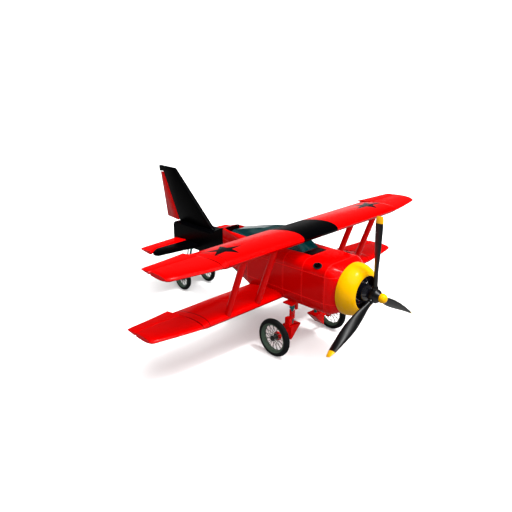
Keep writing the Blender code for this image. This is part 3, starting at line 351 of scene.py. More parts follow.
def fuselage_marks(tree, colour):
    """Seams and laps in a lighter red as painted highlight, the black panels, and the vents' insides painted black
    as painted shade.
    """
    spot = use_group(tree, level)
    across = sums(tree, "ABSOLUTE", spot["Across"])
    lines = None
    for y in BAY_SEAMS:
        off = minus(tree, spot["Along"], y)
        mask = use_group(tree, seam, Off=off, Width=SEAM_WIDTH)["Mask"]
        lines = mask if lines is None else sums(tree, "MAXIMUM", lines, mask)
    for low, rise in LAPS:
        height = minus(tree, spot["Up"], times(tree, spot["Along"], rise))
        lap = use_group(tree, seam, Off=minus(tree, height, low), Width=LAP_WIDTH)["Mask"]
        lap = times(tree, lap, inside(tree, across, *SIDE_ACROSS))
        lines = sums(tree, "MAXIMUM", lines, lap)
    on_deck = inside(tree, spot["Up"], *DECK_UP)
    glare = times(tree, inside(tree, spot["Along"], *GLARE_ALONG), inside(tree, across, -1.0, GLARE_HALF))
    belly = times(tree, inside(tree, spot["Along"], *BELLY_ALONG), inside(tree, spot["Up"], -1.0, BELLY_TOP))
    black = sums(tree, "MAXIMUM", belly, times(tree, on_deck, glare))
    # Inside the vents the skin is painted black: painted shade.
    black = sums(tree, "MAXIMUM", black, vent_painted_shade(tree, across, spot["Along"], spot["Up"]))
    # Seams and laps get a painted highlight: a lighter red mixed over the skin.
    highlighted = mixed(tree, times(tree, lines, SEAM_HIGHLIGHT), colour, PAINTED_HIGHLIGHT_RED)
    return mixed(tree, black, highlighted, BLACK), times(tree, lines, SEAM_HEIGHT)


fuselage_paint = painted("fuselage_paint", RED, fuselage_marks)
print("fuselage seams at", BAY_SEAMS)

# %% [markdown]
# ### The wings' marks
#
# Each upper wing carries a plain five-pointed black star. A star is the part of the plane inside a
# zigzag, which folds onto one straight line: the angle round the centre is folded into one half tip, and
# then a point is inside where it lies below that line.

# %% Star and wing paint
STAR_ACROSS, STAR_ALONG, STAR_RADIUS = 1.795, -0.80, 0.325
STAR_TURN = radians(9.4)
STAR_WIDER, STAR_SHORTER = 1.08, 0.92
STAR_INNER = 0.382 * STAR_RADIUS
STAR_EDGE = 0.003        # how far the star's outline fades
UPPER_WING_LOW = 0.815   # the star is only above this height, so not on the lower wing
COLLAR_X, JOINT_X = 2.060, 2.185
JOINT_WIDTH, JOINT_DEPTH, JOINT_DARK = 0.011, 0.0015, (0.03, 0.0, 0.0)
RIB_PITCH, RIB_WIDTH, RIB_HEIGHT = 0.21, 0.060, 0.0006


def star_mask(tree, across, along):
    """One inside a star with a tip towards -Y, in the plane of across and along."""
    right = sums(tree, "DIVIDE", minus(tree, across, STAR_ACROSS), STAR_WIDER)
    ahead = sums(tree, "DIVIDE", minus(tree, STAR_ALONG, along), STAR_SHORTER)
    angle = sums(tree, "ADD", sums(tree, "ARCTAN2", right, ahead), STAR_TURN)
    reach = sums(tree, "SQRT", squares(tree, right, ahead))
    turn = 2 * pi / 5
    folded = sums(tree, "ABSOLUTE", sums(tree, "WRAP", angle, turn / 2, -turn / 2))
    x = times(tree, reach, sums(tree, "COSINE", folded))
    y = times(tree, reach, sums(tree, "SINE", folded))
    corner = (STAR_INNER * cos(turn / 2), STAR_INNER * sin(turn / 2))
    slope = corner[1] / (STAR_RADIUS - corner[0])
    below = minus(tree, times(tree, minus(tree, STAR_RADIUS, x), slope), y)
    return clipped(tree, sums(tree, "DIVIDE", below, STAR_EDGE))


def wing_marks(tree, colour):
    """Rib tapes under the paint, two joint lines, and the star on top of the upper wing."""
    spot = use_group(tree, level)
    across = sums(tree, "ABSOLUTE", spot["Across"])
    bay = sums(tree, "FRACT", sums(tree, "DIVIDE", across, RIB_PITCH))
    ribs = use_group(tree, seam, Off=minus(tree, bay, 0.5), Width=RIB_WIDTH)["Mask"]
    upper = inside(tree, spot["Up"], UPPER_WING_LOW, 1.2)
    star = times(tree, star_mask(tree, across, spot["Along"]), upper)
    joint = None
    for x in (COLLAR_X, JOINT_X):
        line = use_group(tree, seam, Off=minus(tree, across, x), Width=JOINT_WIDTH)["Mask"]
        joint = line if joint is None else sums(tree, "MAXIMUM", joint, line)
    base = mixed(tree, star, colour, BLACK)
    base = mixed(tree, joint, base, JOINT_DARK)
    relief = minus(tree, times(tree, ribs, RIB_HEIGHT), times(tree, joint, JOINT_DEPTH))
    return base, relief


wing_paint = painted("wing_paint", RED, wing_marks)
print("star of", STAR_RADIUS, "m at", STAR_ACROSS, "m from the middle")

# %% [markdown]
# ### Blades, metal, rubber, leather and glass
#
# The blades are black with yellow tips, so that people see the disc when it turns. The tip starts at a
# distance from the thrust line, which is the length of the level coordinates across it.

# %% Blade paint
THRUST_Z = 0.067
PROP_RADIUS = 1.300
TIP_START = 0.915 * PROP_RADIUS


def blade_marks(tree, colour):
    """Yellow outside a circle round the thrust line."""
    spot = use_group(tree, level)
    high = minus(tree, spot["Up"], THRUST_Z)
    reach = sums(tree, "SQRT", squares(tree, spot["Across"], high))
    return mixed(tree, inside(tree, reach, TIP_START, 2.0), colour, YELLOW), None


blade_paint = painted("blade_paint", BLACK, blade_marks, dust=0.2, smooth=0.36, gloss=0.45)
print("yellow tips from", round(TIP_START, 3), "m out")

# %% Metal, rubber and leather
ROUGH_SPREAD = 0.08


def worn(name, colour, roughness, metallic, grain=90.0, depth=0.0004, spread=0.25, gloss=0.3):
    """A finish with grain: noise changes its tone, its roughness and its surface."""
    material, tree, shader = new_finish(name, colour, roughness, metallic, gloss)
    noise = noise_over(tree, tree.nodes.new("ShaderNodeTexCoord").outputs["Object"], grain, 5.0)
    dark = tuple(c * (1 - spread) for c in colour)
    light = tuple(min(1.0, c * (1 + spread)) for c in colour)
    link(tree, mixed(tree, noise, dark, light), shader.inputs["Base Color"])
    rough = sums(tree, "ADD", roughness - ROUGH_SPREAD, times(tree, noise, 2 * ROUGH_SPREAD))
    link(tree, rough, shader.inputs["Roughness"])
    bumped(tree, shader, times(tree, noise, depth))
    return material


engine_black = worn("engine_black", (0.004, 0.004, 0.007), 0.20, 0.0, 60.0, 0.0002, gloss=0.9)
fin_metal = worn("fin_metal", (0.004, 0.004, 0.009), 0.34, 0.0, 140.0)
bright_steel = worn("bright_steel", (0.45, 0.46, 0.47), 0.25, 0.9, 80.0)
dark_casting = worn("dark_casting", (0.016, 0.020, 0.018), 0.42, 0.4, 80.0)
vent_metal = worn("vent_metal", (0.003, 0.012, 0.012), 0.20, 0.0, 90.0, 0.0002, gloss=0.45)
teal_metal = worn("teal_metal", (0.000, 0.105, 0.105), 0.34, 0.0, 90.0)
rim_steel = worn("rim_steel", (0.050, 0.085, 0.060), 0.34, 0.2, 70.0)
spoke_steel = worn("spoke_steel", (0.10, 0.12, 0.11), 0.28, 0.4, 70.0)
dial_black = worn("dial_black", (0.010, 0.010, 0.011), 0.45, 0.0, 120.0, 0.00005)
dial_white = worn("dial_white", (0.80, 0.79, 0.74), 0.50, 0.0, 120.0, 0.00005, 0.06)
leather = worn("seat_leather", (0.085, 0.035, 0.016), 0.50, 0.0, 220.0, 0.0012, 0.4)
print("metals and leather ready")

# %% Tyre rubber
tyre_rubber = worn("tyre_rubber", (0.003, 0.0040, 0.0042), 0.50, 0.0, 35.0, 0.0003, 0.5, gloss=0.12)
print("tyre rubber ready")

# %% Tinted glass
GLASS_DEEP, GLASS_REFLECTION_STREAK = (0.000, 0.070, 0.080), (0.045, 0.150, 0.155)
tinted_glass, tree, shader = new_finish("tinted_glass", (0.10, 0.42, 0.44), 0.04, gloss=0.5)
shader.inputs["Transmission Weight"].default_value = 0.70
shader.inputs["IOR"].default_value = 1.45
place = tree.nodes.new("ShaderNodeTexCoord")
stretch = tree.nodes.new("ShaderNodeMapping")
stretch.inputs["Scale"].default_value = (9.0, 2.0, 2.0)
link(tree, place.outputs["Object"], stretch.inputs["Vector"])
# The pale streaks mixed into the glass's colour are painted reflection.
share = inside(tree, noise_over(tree, stretch.outputs["Vector"], 1.0), 0.52, 2.0, 0.12)
link(tree, mixed(tree, share, GLASS_DEEP, GLASS_REFLECTION_STREAK), shader.inputs["Base Color"])
print("tinted glass ready")

# %% [markdown]
# ## Joined skins
#
# The solids come in as loose triangles, each with its own flat shade. On most panels the shape is right
# and only the shading isn't. So a copy is made, its triangles are joined, flat areas are made whole, and
# the copy is shaded smooth except at real edges. Plates and castings also get a narrow bevel, because
# the light that a real edge catches is what makes it look solid.

# %% Copy and join
SAME_PLACE, SAME_PLANE = 0.00002, radians(0.6)


def in_edit_mode():
    bpy.ops.object.mode_set(mode="EDIT")
    bpy.ops.mesh.select_all(action="SELECT")


def joined(node, body, finish, crease=40, bevel=0.0):
    """A copy of a solid's mesh with whole faces, smooth up to the crease angle in degrees."""
    piece = bpy.data.objects.new(node + "_skin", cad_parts[node].data.copy())
    bpy.context.scene.collection.objects.link(piece)
    choose(piece)
    bpy.ops.mesh.customdata_custom_splitnormals_clear()
    in_edit_mode()
    bpy.ops.mesh.remove_doubles(threshold=SAME_PLACE)
    bpy.ops.mesh.dissolve_limited(angle_limit=SAME_PLANE)
    bpy.ops.object.mode_set(mode="OBJECT")
    if bevel:
        rounded = piece.modifiers.new("edge", "BEVEL")
        rounded.width = bevel
        rounded.segments = 3
        rounded.limit_method = "ANGLE"
        rounded.angle_limit = radians(40)
        bpy.ops.object.modifier_apply(modifier="edge")
    bpy.ops.object.shade_smooth_by_angle(angle=radians(crease))
    dress(piece, body, finish, (node,))
    return piece


SIDES = {"port": 1, "starboard": -1}         # the sign of x on each side
AIRFRAME = "airframe_body"
for node in ("nose_bay", "cowl_adapter", "cabin_shell", "aft_bay"):
    joined(node, AIRFRAME, fuselage_paint)
for node in ("tail_boom", "fin", "aft_bulkhead", "instrument_panel", "upper_wing_centre"):
    joined(node, AIRFRAME, black_paint)
joined("rudder", "rudder_body", red_paint, bevel=0.003)
for side in SIDES:
    for stem in ("upper_wing_inner", "upper_wing_outer", "lower_wing_inner", "lower_wing_outer"):
        joined(f"{stem}_{side}", AIRFRAME, wing_paint)
    for stem in ("upper", "lower"):
        joined(f"{stem}_aileron_{side}", f"{stem}_aileron_body_{side}", red_paint)
    joined(f"elevator_{side}", f"elevator_body_{side}", red_paint)
    joined(f"stabiliser_{side}", AIRFRAME, black_paint)
    joined(f"side_vent_{side}", AIRFRAME, vent_metal, bevel=0.003)
    for stem in ("strut_inner", "strut_outer", "gear_pad", "gear_yoke"):
        joined(f"{stem}_{side}", AIRFRAME, red_paint, bevel=0.004 if "gear" in stem else 0)
    for stem in ("gear_leg", "tail_leg"):
        joined(f"{stem}_{side}", AIRFRAME, teal_metal)
joined("control_stick", AIRFRAME, fin_metal)
for node in ("canopy_glass", "windscreen"):
    joined(node, AIRFRAME, tinted_glass, crease=25)
print("skins joined")

# %% [markdown]
# ## Turned pieces
#
# A cowl, a tyre, a finned cylinder and a spoke are all turned: half their outline, carried round an axis.
# By hand one would put down a single corner, extrude it from point to point along the outline, and then
# spin the line. The helper does the same. It spins round Z, and the piece's own matrix then points Z
# along the real axis, such as the thrust line or an axle.

# %% Extrude an outline and spin it


def closed_and_smooth(piece, crease):
    """Merges what meets, turns every face outwards and smooths all but real edges."""
    bpy.ops.mesh.select_all(action="SELECT")
    bpy.ops.mesh.remove_doubles(threshold=0.00001)
    bpy.ops.mesh.normals_make_consistent(inside=False)
    bpy.ops.object.mode_set(mode="OBJECT")
    bpy.ops.object.shade_smooth_by_angle(angle=radians(crease))
    return piece


def turned(name, outline, place, steps=64, crease=35.0):
    """A turned piece. Each outline point is (along the axis, radius), and place carries Z to the axis."""
    bpy.ops.object.select_all(action="DESELECT")
    bpy.ops.mesh.primitive_plane_add(size=0.1)
    piece = bpy.context.object
    piece.name = name
    in_edit_mode()
    bpy.ops.mesh.select_mode(type="VERT")
    bpy.ops.mesh.merge(type="CENTER")
    spot = Vector((outline[0][1], 0, outline[0][0]))
    bpy.ops.transform.translate(value=spot)
    for along, radius in outline[1:]:
        there = Vector((radius, 0, along))
        bpy.ops.mesh.extrude_vertices_move(TRANSFORM_OT_translate={"value": there - spot})
        spot = there
    bpy.ops.mesh.select_all(action="SELECT")
    bpy.ops.mesh.spin(steps=steps, angle=2 * pi, center=(0, 0, 0), axis=(0, 0, 1))
    closed_and_smooth(piece, crease)
    piece.matrix_world = place
    return piece


def copied(piece, name, place):
    """A copy with its own mesh, carried by a matrix."""
    made = bpy.data.objects.new(name, piece.data.copy())
    bpy.context.scene.collection.objects.link(made)
    made.matrix_world = place @ piece.matrix_world
    return made


def together(pieces, name):
    """Several objects made one."""
    bpy.ops.object.select_all(action="DESELECT")
    for piece in pieces:
        piece.select_set(True)
    bpy.context.view_layer.objects.active = pieces[0]
    bpy.ops.object.join()
    pieces[0].name = name
    return pieces[0]


def axis_at(point, direction):
    """A matrix that puts a piece's Z axis along a direction, at a point."""
    return Matrix.Translation(point) @ Vector(direction).to_track_quat("Z", "Y").to_matrix().to_4x4()


FORWARD = axis_at((0, 0, THRUST_Z), (0, -1, 0))
print("helpers ready")

# %% [markdown]
# ## Cowl
#
# The cowl is a spun ring. Its outside bulges from the back rim to a rounded lip, and the lip turns in
# before it ends, so that no raw edge faces the wind.

# %% Cowl
COWL_BACK, COWL_FRONT = 1.885, 2.172
COWL_RADIUS, COWL_MOUTH = 0.442, 0.285
COWL_WALL = 0.022
COWL_STEPS = 24
BULGE_SHARE, BULGE_POWER = 0.80, 1.16        # how far back the bulge reaches, and how full it is


def cowl_line(inset):
    """The cowl's bulge from its back rim to its lip, at a depth inside its outer face."""
    depth = (COWL_FRONT - COWL_BACK) * BULGE_SHARE
    line = []
    for i in range(COWL_STEPS + 1):
        angle = pi / 2 * i / COWL_STEPS
        line.append((COWL_FRONT - inset - depth * (1 - sin(angle) ** BULGE_POWER),
                     COWL_MOUTH + (COWL_RADIUS - inset - COWL_MOUTH) * abs(cos(angle)) ** BULGE_POWER))
    return line


half_wall = COWL_WALL / 2
outline = [(COWL_BACK, COWL_RADIUS - half_wall), (COWL_BACK, COWL_RADIUS - 0.004),
           (COWL_BACK + 0.002, COWL_RADIUS - 0.001), (COWL_BACK + 0.007, COWL_RADIUS)]
outline += cowl_line(0.0)
for i in range(1, 8):
    angle = pi * i / 8
    outline.append((COWL_FRONT - half_wall + half_wall * cos(angle), COWL_MOUTH - 0.004 * sin(angle)))
outline += [(COWL_FRONT - COWL_WALL, COWL_MOUTH + 0.001)] + cowl_line(half_wall)[-3::-1] + [outline[0]]
cowl = turned("cowl", outline, FORWARD, 96)
park(cowl, AIRFRAME, yellow_paint, ("cowl_ring",))
print("cowl", len(cowl.data.polygons), "faces")

# %% Black liner inside the cowl, painted shade
# The black liner is painted shade for the cowl's dark inside, and it keeps the yellow wall from showing in the
# engine's gloss.
outer, inner = cowl_line(half_wall + 0.0005)[:-4], cowl_line(COWL_WALL)[:-4]
outline = [(COWL_BACK, inner[0][1])] + [(COWL_BACK, outer[0][1])] + outer + inner[::-1] + [(COWL_BACK, inner[0][1])]
park(turned("cowl_shade_liner", outline, FORWARD, 96), AIRFRAME, black_paint)
print("the liner hides the yellow from the engine")

# %% [markdown]
# ## Engine
#
# Nine cylinders stand round a polished black crankcase. Each has a stack of cooling fins that ends in a
# head, a rocker box, and two tubes in front of it for the pushrods. One cylinder is made and copied
# round the thrust line. A ring carries the ignition leads past all of them.

# %% Crankcase
CASE_BACK, CASE_FRONT, CASE_RADIUS = 1.8853, 2.245, 0.165
outline = [(CASE_BACK, 0.0), (CASE_BACK, CASE_RADIUS), (2.060, CASE_RADIUS), (2.064, CASE_RADIUS - 0.004),
           (2.070, CASE_RADIUS - 0.018)]
for i in range(1, 17):
    angle = pi / 2 * i / 16
    outline.append((CASE_FRONT - 0.130 * (1 - sin(angle)), 0.055 + (CASE_RADIUS - 0.080) * cos(angle)))
outline += [(CASE_FRONT, 0.045), (CASE_FRONT + 0.0057, 0.045), (CASE_FRONT + 0.0057, 0.0)]
crankcase = turned("crankcase", outline, FORWARD, 72)
park(crankcase, AIRFRAME, engine_black, ("engine",))
print("crankcase", len(crankcase.data.polygons), "faces")

# %% Nuts round the crankcase, and the ignition ring
NUTS = 18
nut = turned("nut", [(0, 0.0), (0, 0.0075), (0.006, 0.0075), (0.0075, 0.0060), (0.0075, 0.0)],
             FORWARD @ Matrix.Translation((0, 0.156, 2.0642)), 6, 20)
nuts = [copied(nut, "nut", FORWARD @ Matrix.Rotation(2 * pi * i / NUTS, 4, "Z") @ FORWARD.inverted())
        for i in range(NUTS)]
bpy.data.objects.remove(nut)
park(together(nuts, "case_nuts"), AIRFRAME, bright_steel)
RING_RADIUS, RING_WIRE = 0.214, 0.008
outline = [(2.056 + RING_WIRE * sin(2 * pi * i / 12), RING_RADIUS + RING_WIRE * cos(2 * pi * i / 12))
           for i in range(13)]
park(turned("ignition_ring", outline, FORWARD, 96, 60), AIRFRAME, engine_black)
print(NUTS, "nuts")

# %% Cylinders
CYLINDERS = 9
BARREL_Y = -1.981
FINS, FIN_START, FIN_END = 11, 0.170, 0.300
FIN_RADIUS, BARREL_RADIUS = 0.054, 0.040
outline = [(0.150, 0.0), (0.150, BARREL_RADIUS)]
pitch = (FIN_END - FIN_START) / FINS
for i in range(FINS):
    start = FIN_START + pitch * i
    outline += [(start, BARREL_RADIUS), (start, FIN_RADIUS), (start + pitch * 0.35, FIN_RADIUS),
                (start + pitch * 0.35, BARREL_RADIUS)]
outline += [(FIN_END, 0.044), (FIN_END + 0.004, FIN_RADIUS), (0.345, FIN_RADIUS), (0.356, 0.046),
            (0.361, 0.030), (0.361, 0.0)]
barrel = turned("barrel", outline, Matrix.Identity(4), 32)
details = [barrel]
for side in (-1, 1):
    foot = Vector((0.030 * side, -0.062, 0.150))
    head = Vector((0.026 * side, -0.056, 0.325))
    size = (head - foot).length
    tube = [(0, 0.0), (0, 0.011), (0.012, 0.011), (0.013, 0.008), (size, 0.008), (size, 0.0)]
    details.append(turned("pushrod", tube, axis_at(foot, head - foot), 12))
    bpy.ops.object.select_all(action="DESELECT")
    rocker_box = (0.026 * side, -0.040, 0.333)
    bpy.ops.mesh.primitive_cube_add(size=1, location=rocker_box)
    in_edit_mode()
    bpy.ops.transform.resize(value=(0.026, 0.050, 0.024), center_override=rocker_box)
    bpy.ops.mesh.bevel(offset=0.005, segments=3, affect="EDGES")
    bpy.ops.object.mode_set(mode="OBJECT")
    bpy.ops.object.shade_smooth_by_angle(angle=radians(35))
    details.append(bpy.context.object)
cylinder = together(details, "cylinder")
bank = []
for i in range(CYLINDERS):
    turn = Matrix.Rotation(2 * pi * (i + 0.5) / CYLINDERS, 4, "Y")
    bank.append(copied(cylinder, "cylinder", Matrix.Translation((0, BARREL_Y, THRUST_Z)) @ turn))
bpy.data.objects.remove(cylinder)
cylinders = together(bank, "cylinders")
park(cylinders, AIRFRAME, fin_metal)
print("cylinders", len(cylinders.data.polygons), "faces")

# %% [markdown]
# ## Propeller
#
# A blade is thick and narrow at its root and thin and wide further out, and it twists along its length.
# Eleven sections say how. Between them a helper blends chord, thickness and angle smoothly, and a round
# section is extruded through many more stations than were given.

# %% Blade sections
PROP_Y = -2.330
# (share of the radius, chord, thickness, angle from the disc in degrees)
BLADE_SECTIONS = (
    (0.04, 0.078, 0.074, 22), (0.15, 0.088, 0.072, 25), (0.30, 0.147, 0.070, 34),
    (0.40, 0.173, 0.073, 41), (0.50, 0.188, 0.074, 50), (0.60, 0.186, 0.073, 57),
    (0.70, 0.170, 0.072, 66), (0.80, 0.149, 0.068, 79), (0.90, 0.132, 0.056, 95),
    (0.965, 0.118, 0.034, 108), (1.00, 0.094, 0.012, 113),
)


def between(rows, share):
    """The row at a share of the way through, on a smooth curve through all rows."""
    spot = share * (len(rows) - 1)
    i = min(int(spot), len(rows) - 2)
    t = spot - i
    near = [rows[min(max(k, 0), len(rows) - 1)] for k in (i - 1, i, i + 1, i + 2)]
    made = []
    for a, b, c, d in zip(*near):
        made.append(b + 0.5 * t * (c - a + t * (2 * a - 5 * b + 4 * c - d + t * (3 * (b - c) + d - a))))
    return made


STATIONS = 44
SIDES_OF_SECTION = 24


def turn_section(degrees, height):
    """Turns what is selected about the blade's axis, anticlockwise as seen from the tip."""
    bpy.ops.transform.rotate(value=-radians(degrees), orient_axis="Z", center_override=(0, 0, height))


def extruded_blade():
    """A round section, extruded from station to station. Each is resized square to the axis, then turned."""
    share, chord, thick, degrees = BLADE_SECTIONS[0]
    height = PROP_RADIUS * share
    bpy.ops.object.select_all(action="DESELECT")
    bpy.ops.mesh.primitive_circle_add(vertices=SIDES_OF_SECTION, radius=0.5, fill_type="NGON",
                                      location=(0, 0, height))
    piece = bpy.context.object
    bpy.ops.object.transform_apply(location=True)
    in_edit_mode()
    bpy.ops.transform.resize(value=(chord, thick, 1), center_override=(0, 0, height))
    turn_section(degrees, height)
    for i in range(1, STATIONS + 1):
        share, wide, deep, turn = between(BLADE_SECTIONS, i / STATIONS)
        rise = PROP_RADIUS * share - height
        height += rise
        bpy.ops.mesh.extrude_region_move(TRANSFORM_OT_translate={"value": (0, 0, rise)})
        turn_section(-degrees, height)
        bpy.ops.transform.resize(value=(wide / chord, deep / thick, 1), center_override=(0, 0, height))
        turn_section(turn, height)
        chord, thick, degrees = wide, deep, turn
    return closed_and_smooth(piece, 50)


blade = extruded_blade()
print("blade", len(blade.data.polygons), "faces, tip at", round(blade.bound_box[1][2], 3), "m")

# %% Hub, blades and nose cap
HUB_RADIUS = 0.116
outline = [(2.251, 0.0), (2.251, 0.062), (2.262, 0.070), (2.276, HUB_RADIUS - 0.004), (2.282, HUB_RADIUS),
           (2.374, HUB_RADIUS), (2.380, HUB_RADIUS - 0.004), (2.450, 0.066), (2.450, 0.0)]
pieces = [turned("hub", outline, FORWARD, 48)]
for i in range(3):
    place = Matrix.Translation((0, PROP_Y, THRUST_Z)) @ Matrix.Rotation(2 * pi * i / 3, 4, "Y")
    pieces.append(copied(blade, "blade", place))
    pieces.append(turned("cuff", [(0.080, 0.0), (0.080, 0.047), (0.132, 0.051), (0.150, 0.051), (0.156, 0.047),
                                  (0.156, 0.0)], place, 32))
bpy.data.objects.remove(blade)
propeller = together(pieces, "propeller_with_hub")
park(propeller, "propeller", blade_paint, ("propeller_hub",))

CAP_RADIUS, CAP_NOSE, CAP_BASE = 0.080, 0.0828, 2.470
outline = [(2.4503, 0.0), (2.4503, CAP_RADIUS * 0.94), (2.460, CAP_RADIUS - 0.001), (CAP_BASE, CAP_RADIUS)]
for i in range(1, 17):
    angle = pi / 2 * i / 16
    outline.append((CAP_BASE + CAP_NOSE * sin(angle), CAP_RADIUS * cos(angle) ** 0.75 if i < 16 else 0.0))
nose_cap = turned("nose_cap", outline, FORWARD, 48)
park(nose_cap, "propeller", yellow_paint, ("spinner",))
print("propeller", len(propeller.data.polygons), "faces")

# %% [markdown]
# ## Wheels
#
# A wire wheel hangs its hub in a web of thin spokes. They leave two flanges on the hub in turn and meet
# the middle of the rim. The tyre holds the rim with its beads. Its tread is cut from the turned shape:
# the faces that look outwards are inset one by one, and what is left of each stands up as a block.

# %% Tyre
TREAD = 0.0022
TREAD_ANGLE, TREAD_FACING = 0.95, 0.60       # how far round the section the blocks reach
GROOVE = 0.022           # the gap beside a block, as a share of the section
FLOOR_CLEAR = 0.0007     # the finer ring would else reach below the solid's flats


def tyre(name, radius, section, place, lanes=28, steps=108):
    """A tyre from bead to bead, with blocks on the part that meets the ground."""
    bead = pi - acos(0.2)
    outline = []
    for i in range(lanes + 1):
        angle = bead - 2 * bead * i / lanes
        reach = section - FLOOR_CLEAR - (TREAD if abs(angle) < TREAD_ANGLE else 0.0)
        outline.append((section * 0.86 * sin(angle), radius - section + reach * cos(angle)))
    outline.append(outline[0])
    piece = turned(name, outline, place, steps, 60)
    bpy.ops.object.mode_set(mode="EDIT")
    bpy.ops.mesh.select_mode(type="FACE")
    mesh = bmesh.from_edit_mesh(piece.data)
    for face in mesh.faces:
        middle = face.calc_center_median()
        out = Vector((middle.x, middle.y, 0)).normalized()
        face.select = face.normal.dot(out) > TREAD_FACING
    bmesh.update_edit_mesh(piece.data)
    bpy.ops.mesh.inset(thickness=section * GROOVE, depth=TREAD, use_individual=True)
    bpy.ops.object.mode_set(mode="OBJECT")
    return piece


print("tread", TREAD * 1000, "mm deep")

# %% Rim, hub and spokes


def rim_outline(seat, section):
    """A rim with a sunk bed and two lips that hold the tyre."""
    wide, deep, lip = section * 0.80, seat - section * 0.60, seat - section * 0.38
    top = seat - 0.0004
    return [(-wide, top), (-wide - 0.0005, lip + 0.004), (-wide + 0.004, lip), (-wide * 0.6, deep),
            (wide * 0.6, deep), (wide - 0.004, lip), (wide + 0.0005, lip + 0.004), (wide, top), (0, top),
            (-wide, top)]


def hub_outline(half, bore, core, flange):
    """From the inner end along two flanges, and over the cap that closes the outer end."""
    return [(-half, bore), (-half, core), (-half * 0.80, core), (-half * 0.78, flange), (-half * 0.66, flange),
            (-half * 0.62, core), (half * 0.62, core), (half * 0.66, flange), (half * 0.78, flange),
            (half * 0.80, core), (half, core), (half + 0.010, core * 0.92), (half + 0.016, core * 0.60),
            (half + 0.017, 0.0), (half + 0.012, 0.0), (half + 0.012, bore), (-half, bore)]


def spoke_web(name, place, seat, section, spokes, half, wire, flange):
    """One spoke for each flange, copied round. A nipple holds each one in the rim."""
    reach = seat - section * 0.5
    bank = []
    for side in (-1, 1):
        lean = 0.30 * side
        start = Vector((flange * 0.86 * cos(lean), flange * 0.86 * sin(lean), side * half * 0.72))
        end = Vector((reach, 0, side * section * 0.12))
        size = (end - start).length
        spoke = turned("spoke", [(0, 0.0), (0, wire), (size * 0.90, wire), (size * 0.91, wire * 1.7),
                                 (size, wire * 1.7), (size, 0.0)], axis_at(start, end - start), 8)
        for i in range(spokes // 2):
            turn = 2 * pi * (i + 0.25 * (1 + side)) / (spokes // 2)
            bank.append(copied(spoke, "spoke", place @ Matrix.Rotation(turn, 4, "Z")))
        bpy.data.objects.remove(spoke)
    return together(bank, name)


# (hub centre, radius, tyre section, spokes, half the hub's width, spoke radius, bore)
WHEELS = {
    "main": (Vector((0.758, -0.882, -0.915)), 0.340, 0.062, 28, 0.060, 0.0045, 0.0150),
    "tail": (Vector((0.326, 2.105, -0.807)), 0.236, 0.048, 20, 0.038, 0.0034, 0.0110),
}
for kind, (hub, radius, section, spokes, half, wire, bore) in WHEELS.items():
    for side, sign in SIDES.items():
        place = axis_at((sign * hub.x, hub.y, hub.z), (sign, 0, 0))
        body = f"{kind}_wheel_body_{side}"
        seat = radius - 1.2 * section
        core, flange = 0.07 * radius + 0.005, 0.10 * radius + 0.016
        park(tyre(f"{kind}_rubber_{side}", radius, section, place), body, tyre_rubber,
             (f"{kind}_tyre_{side}",))
        park(turned(f"{kind}_rim_{side}", rim_outline(seat, section), place, 72), body, rim_steel,
             (f"{kind}_wheel_{side}",))
        park(turned(f"{kind}_hub_{side}", hub_outline(half, bore, core, flange), place, 36), body, dark_casting)
        park(spoke_web(f"{kind}_spokes_{side}", place, seat, section, spokes, half, wire, flange), body,
             spoke_steel)
    print(kind, "wheel of", radius * 2, "m with", spokes, "spokes")

# %% [markdown]
# ## Springs
#
# A spring is a round wire that a screw carries round the leg as it climbs. Blender's Screw modifier does
# just that with a circle that stands upright beside the axis.

# %% Springs
LEG_X, LEG_Y = 0.315, -0.882
SPRING_LOW, SPRING_TOP = -0.7187, -0.5333
COIL_RADIUS, WIRE_RADIUS, TURNS = 0.0398, 0.0098, 5.5
STEPS_A_TURN = 28

for side, sign in SIDES.items():
    bpy.ops.object.select_all(action="DESELECT")
    bpy.ops.mesh.primitive_circle_add(vertices=12, radius=WIRE_RADIUS, fill_type="NOTHING",
                                      location=(COIL_RADIUS, 0, 0), rotation=(pi / 2, 0, 0))
    coil = bpy.context.object
    coil.name = f"coil_{side}"
    bpy.ops.object.transform_apply(location=True, rotation=True)
    screw = coil.modifiers.new("screw", "SCREW")
    screw.angle = 2 * pi * TURNS
    screw.steps = screw.render_steps = round(STEPS_A_TURN * TURNS)
    screw.screw_offset = SPRING_TOP - SPRING_LOW - 2 * WIRE_RADIUS
    bpy.ops.object.modifier_apply(modifier="screw")
    in_edit_mode()
    bpy.ops.mesh.fill_holes(sides=12)
    closed_and_smooth(coil, 60)
    coil.location = (sign * LEG_X, LEG_Y, SPRING_LOW + WIRE_RADIUS)
    park(coil, AIRFRAME, red_paint, (f"gear_spring_{side}",))
print("springs of", TURNS, "turns")

# %% [markdown]
# ## Seat
#
# The seat is a leather cushion and a back pad on a plain box. Padding pushes a cover outwards
# everywhere but at its seams. So each pad starts as a rounded block with small even faces, its seam
# lines are pinned, and a short cloth simulation with air pressure swells it between them.

# %% Swell a pad
VOXEL = 0.006
SEAM_PIN, EDGE_BAND = 0.0045, 0.012          # how near to a seam, and to an edge, a point is pinned
PRESSURE, CLOTH_STEPS = 4.0, 20
SWELL_CAP = 0.014
SEAT_HALF, SEAT_FRONT, SEAT_REAR = 0.200, -0.415, -0.005
CHANNELS = (-0.066, 0.066)


def rounded_block(name, low, high, rounding):
    """A block between two corners with rounded edges."""
    low, high = Vector(low), Vector(high)
    bpy.ops.object.select_all(action="DESELECT")
    bpy.ops.mesh.primitive_cube_add(size=1, location=(low + high) / 2)
    block = bpy.context.object
    block.name = name
    block.scale = high - low
    bpy.ops.object.transform_apply(location=True, rotation=True, scale=True)
    in_edit_mode()
    bpy.ops.mesh.bevel(offset=rounding, segments=4, affect="EDGES")
    bpy.ops.mesh.normals_make_consistent(inside=False)
    bpy.ops.object.mode_set(mode="OBJECT")
    return block


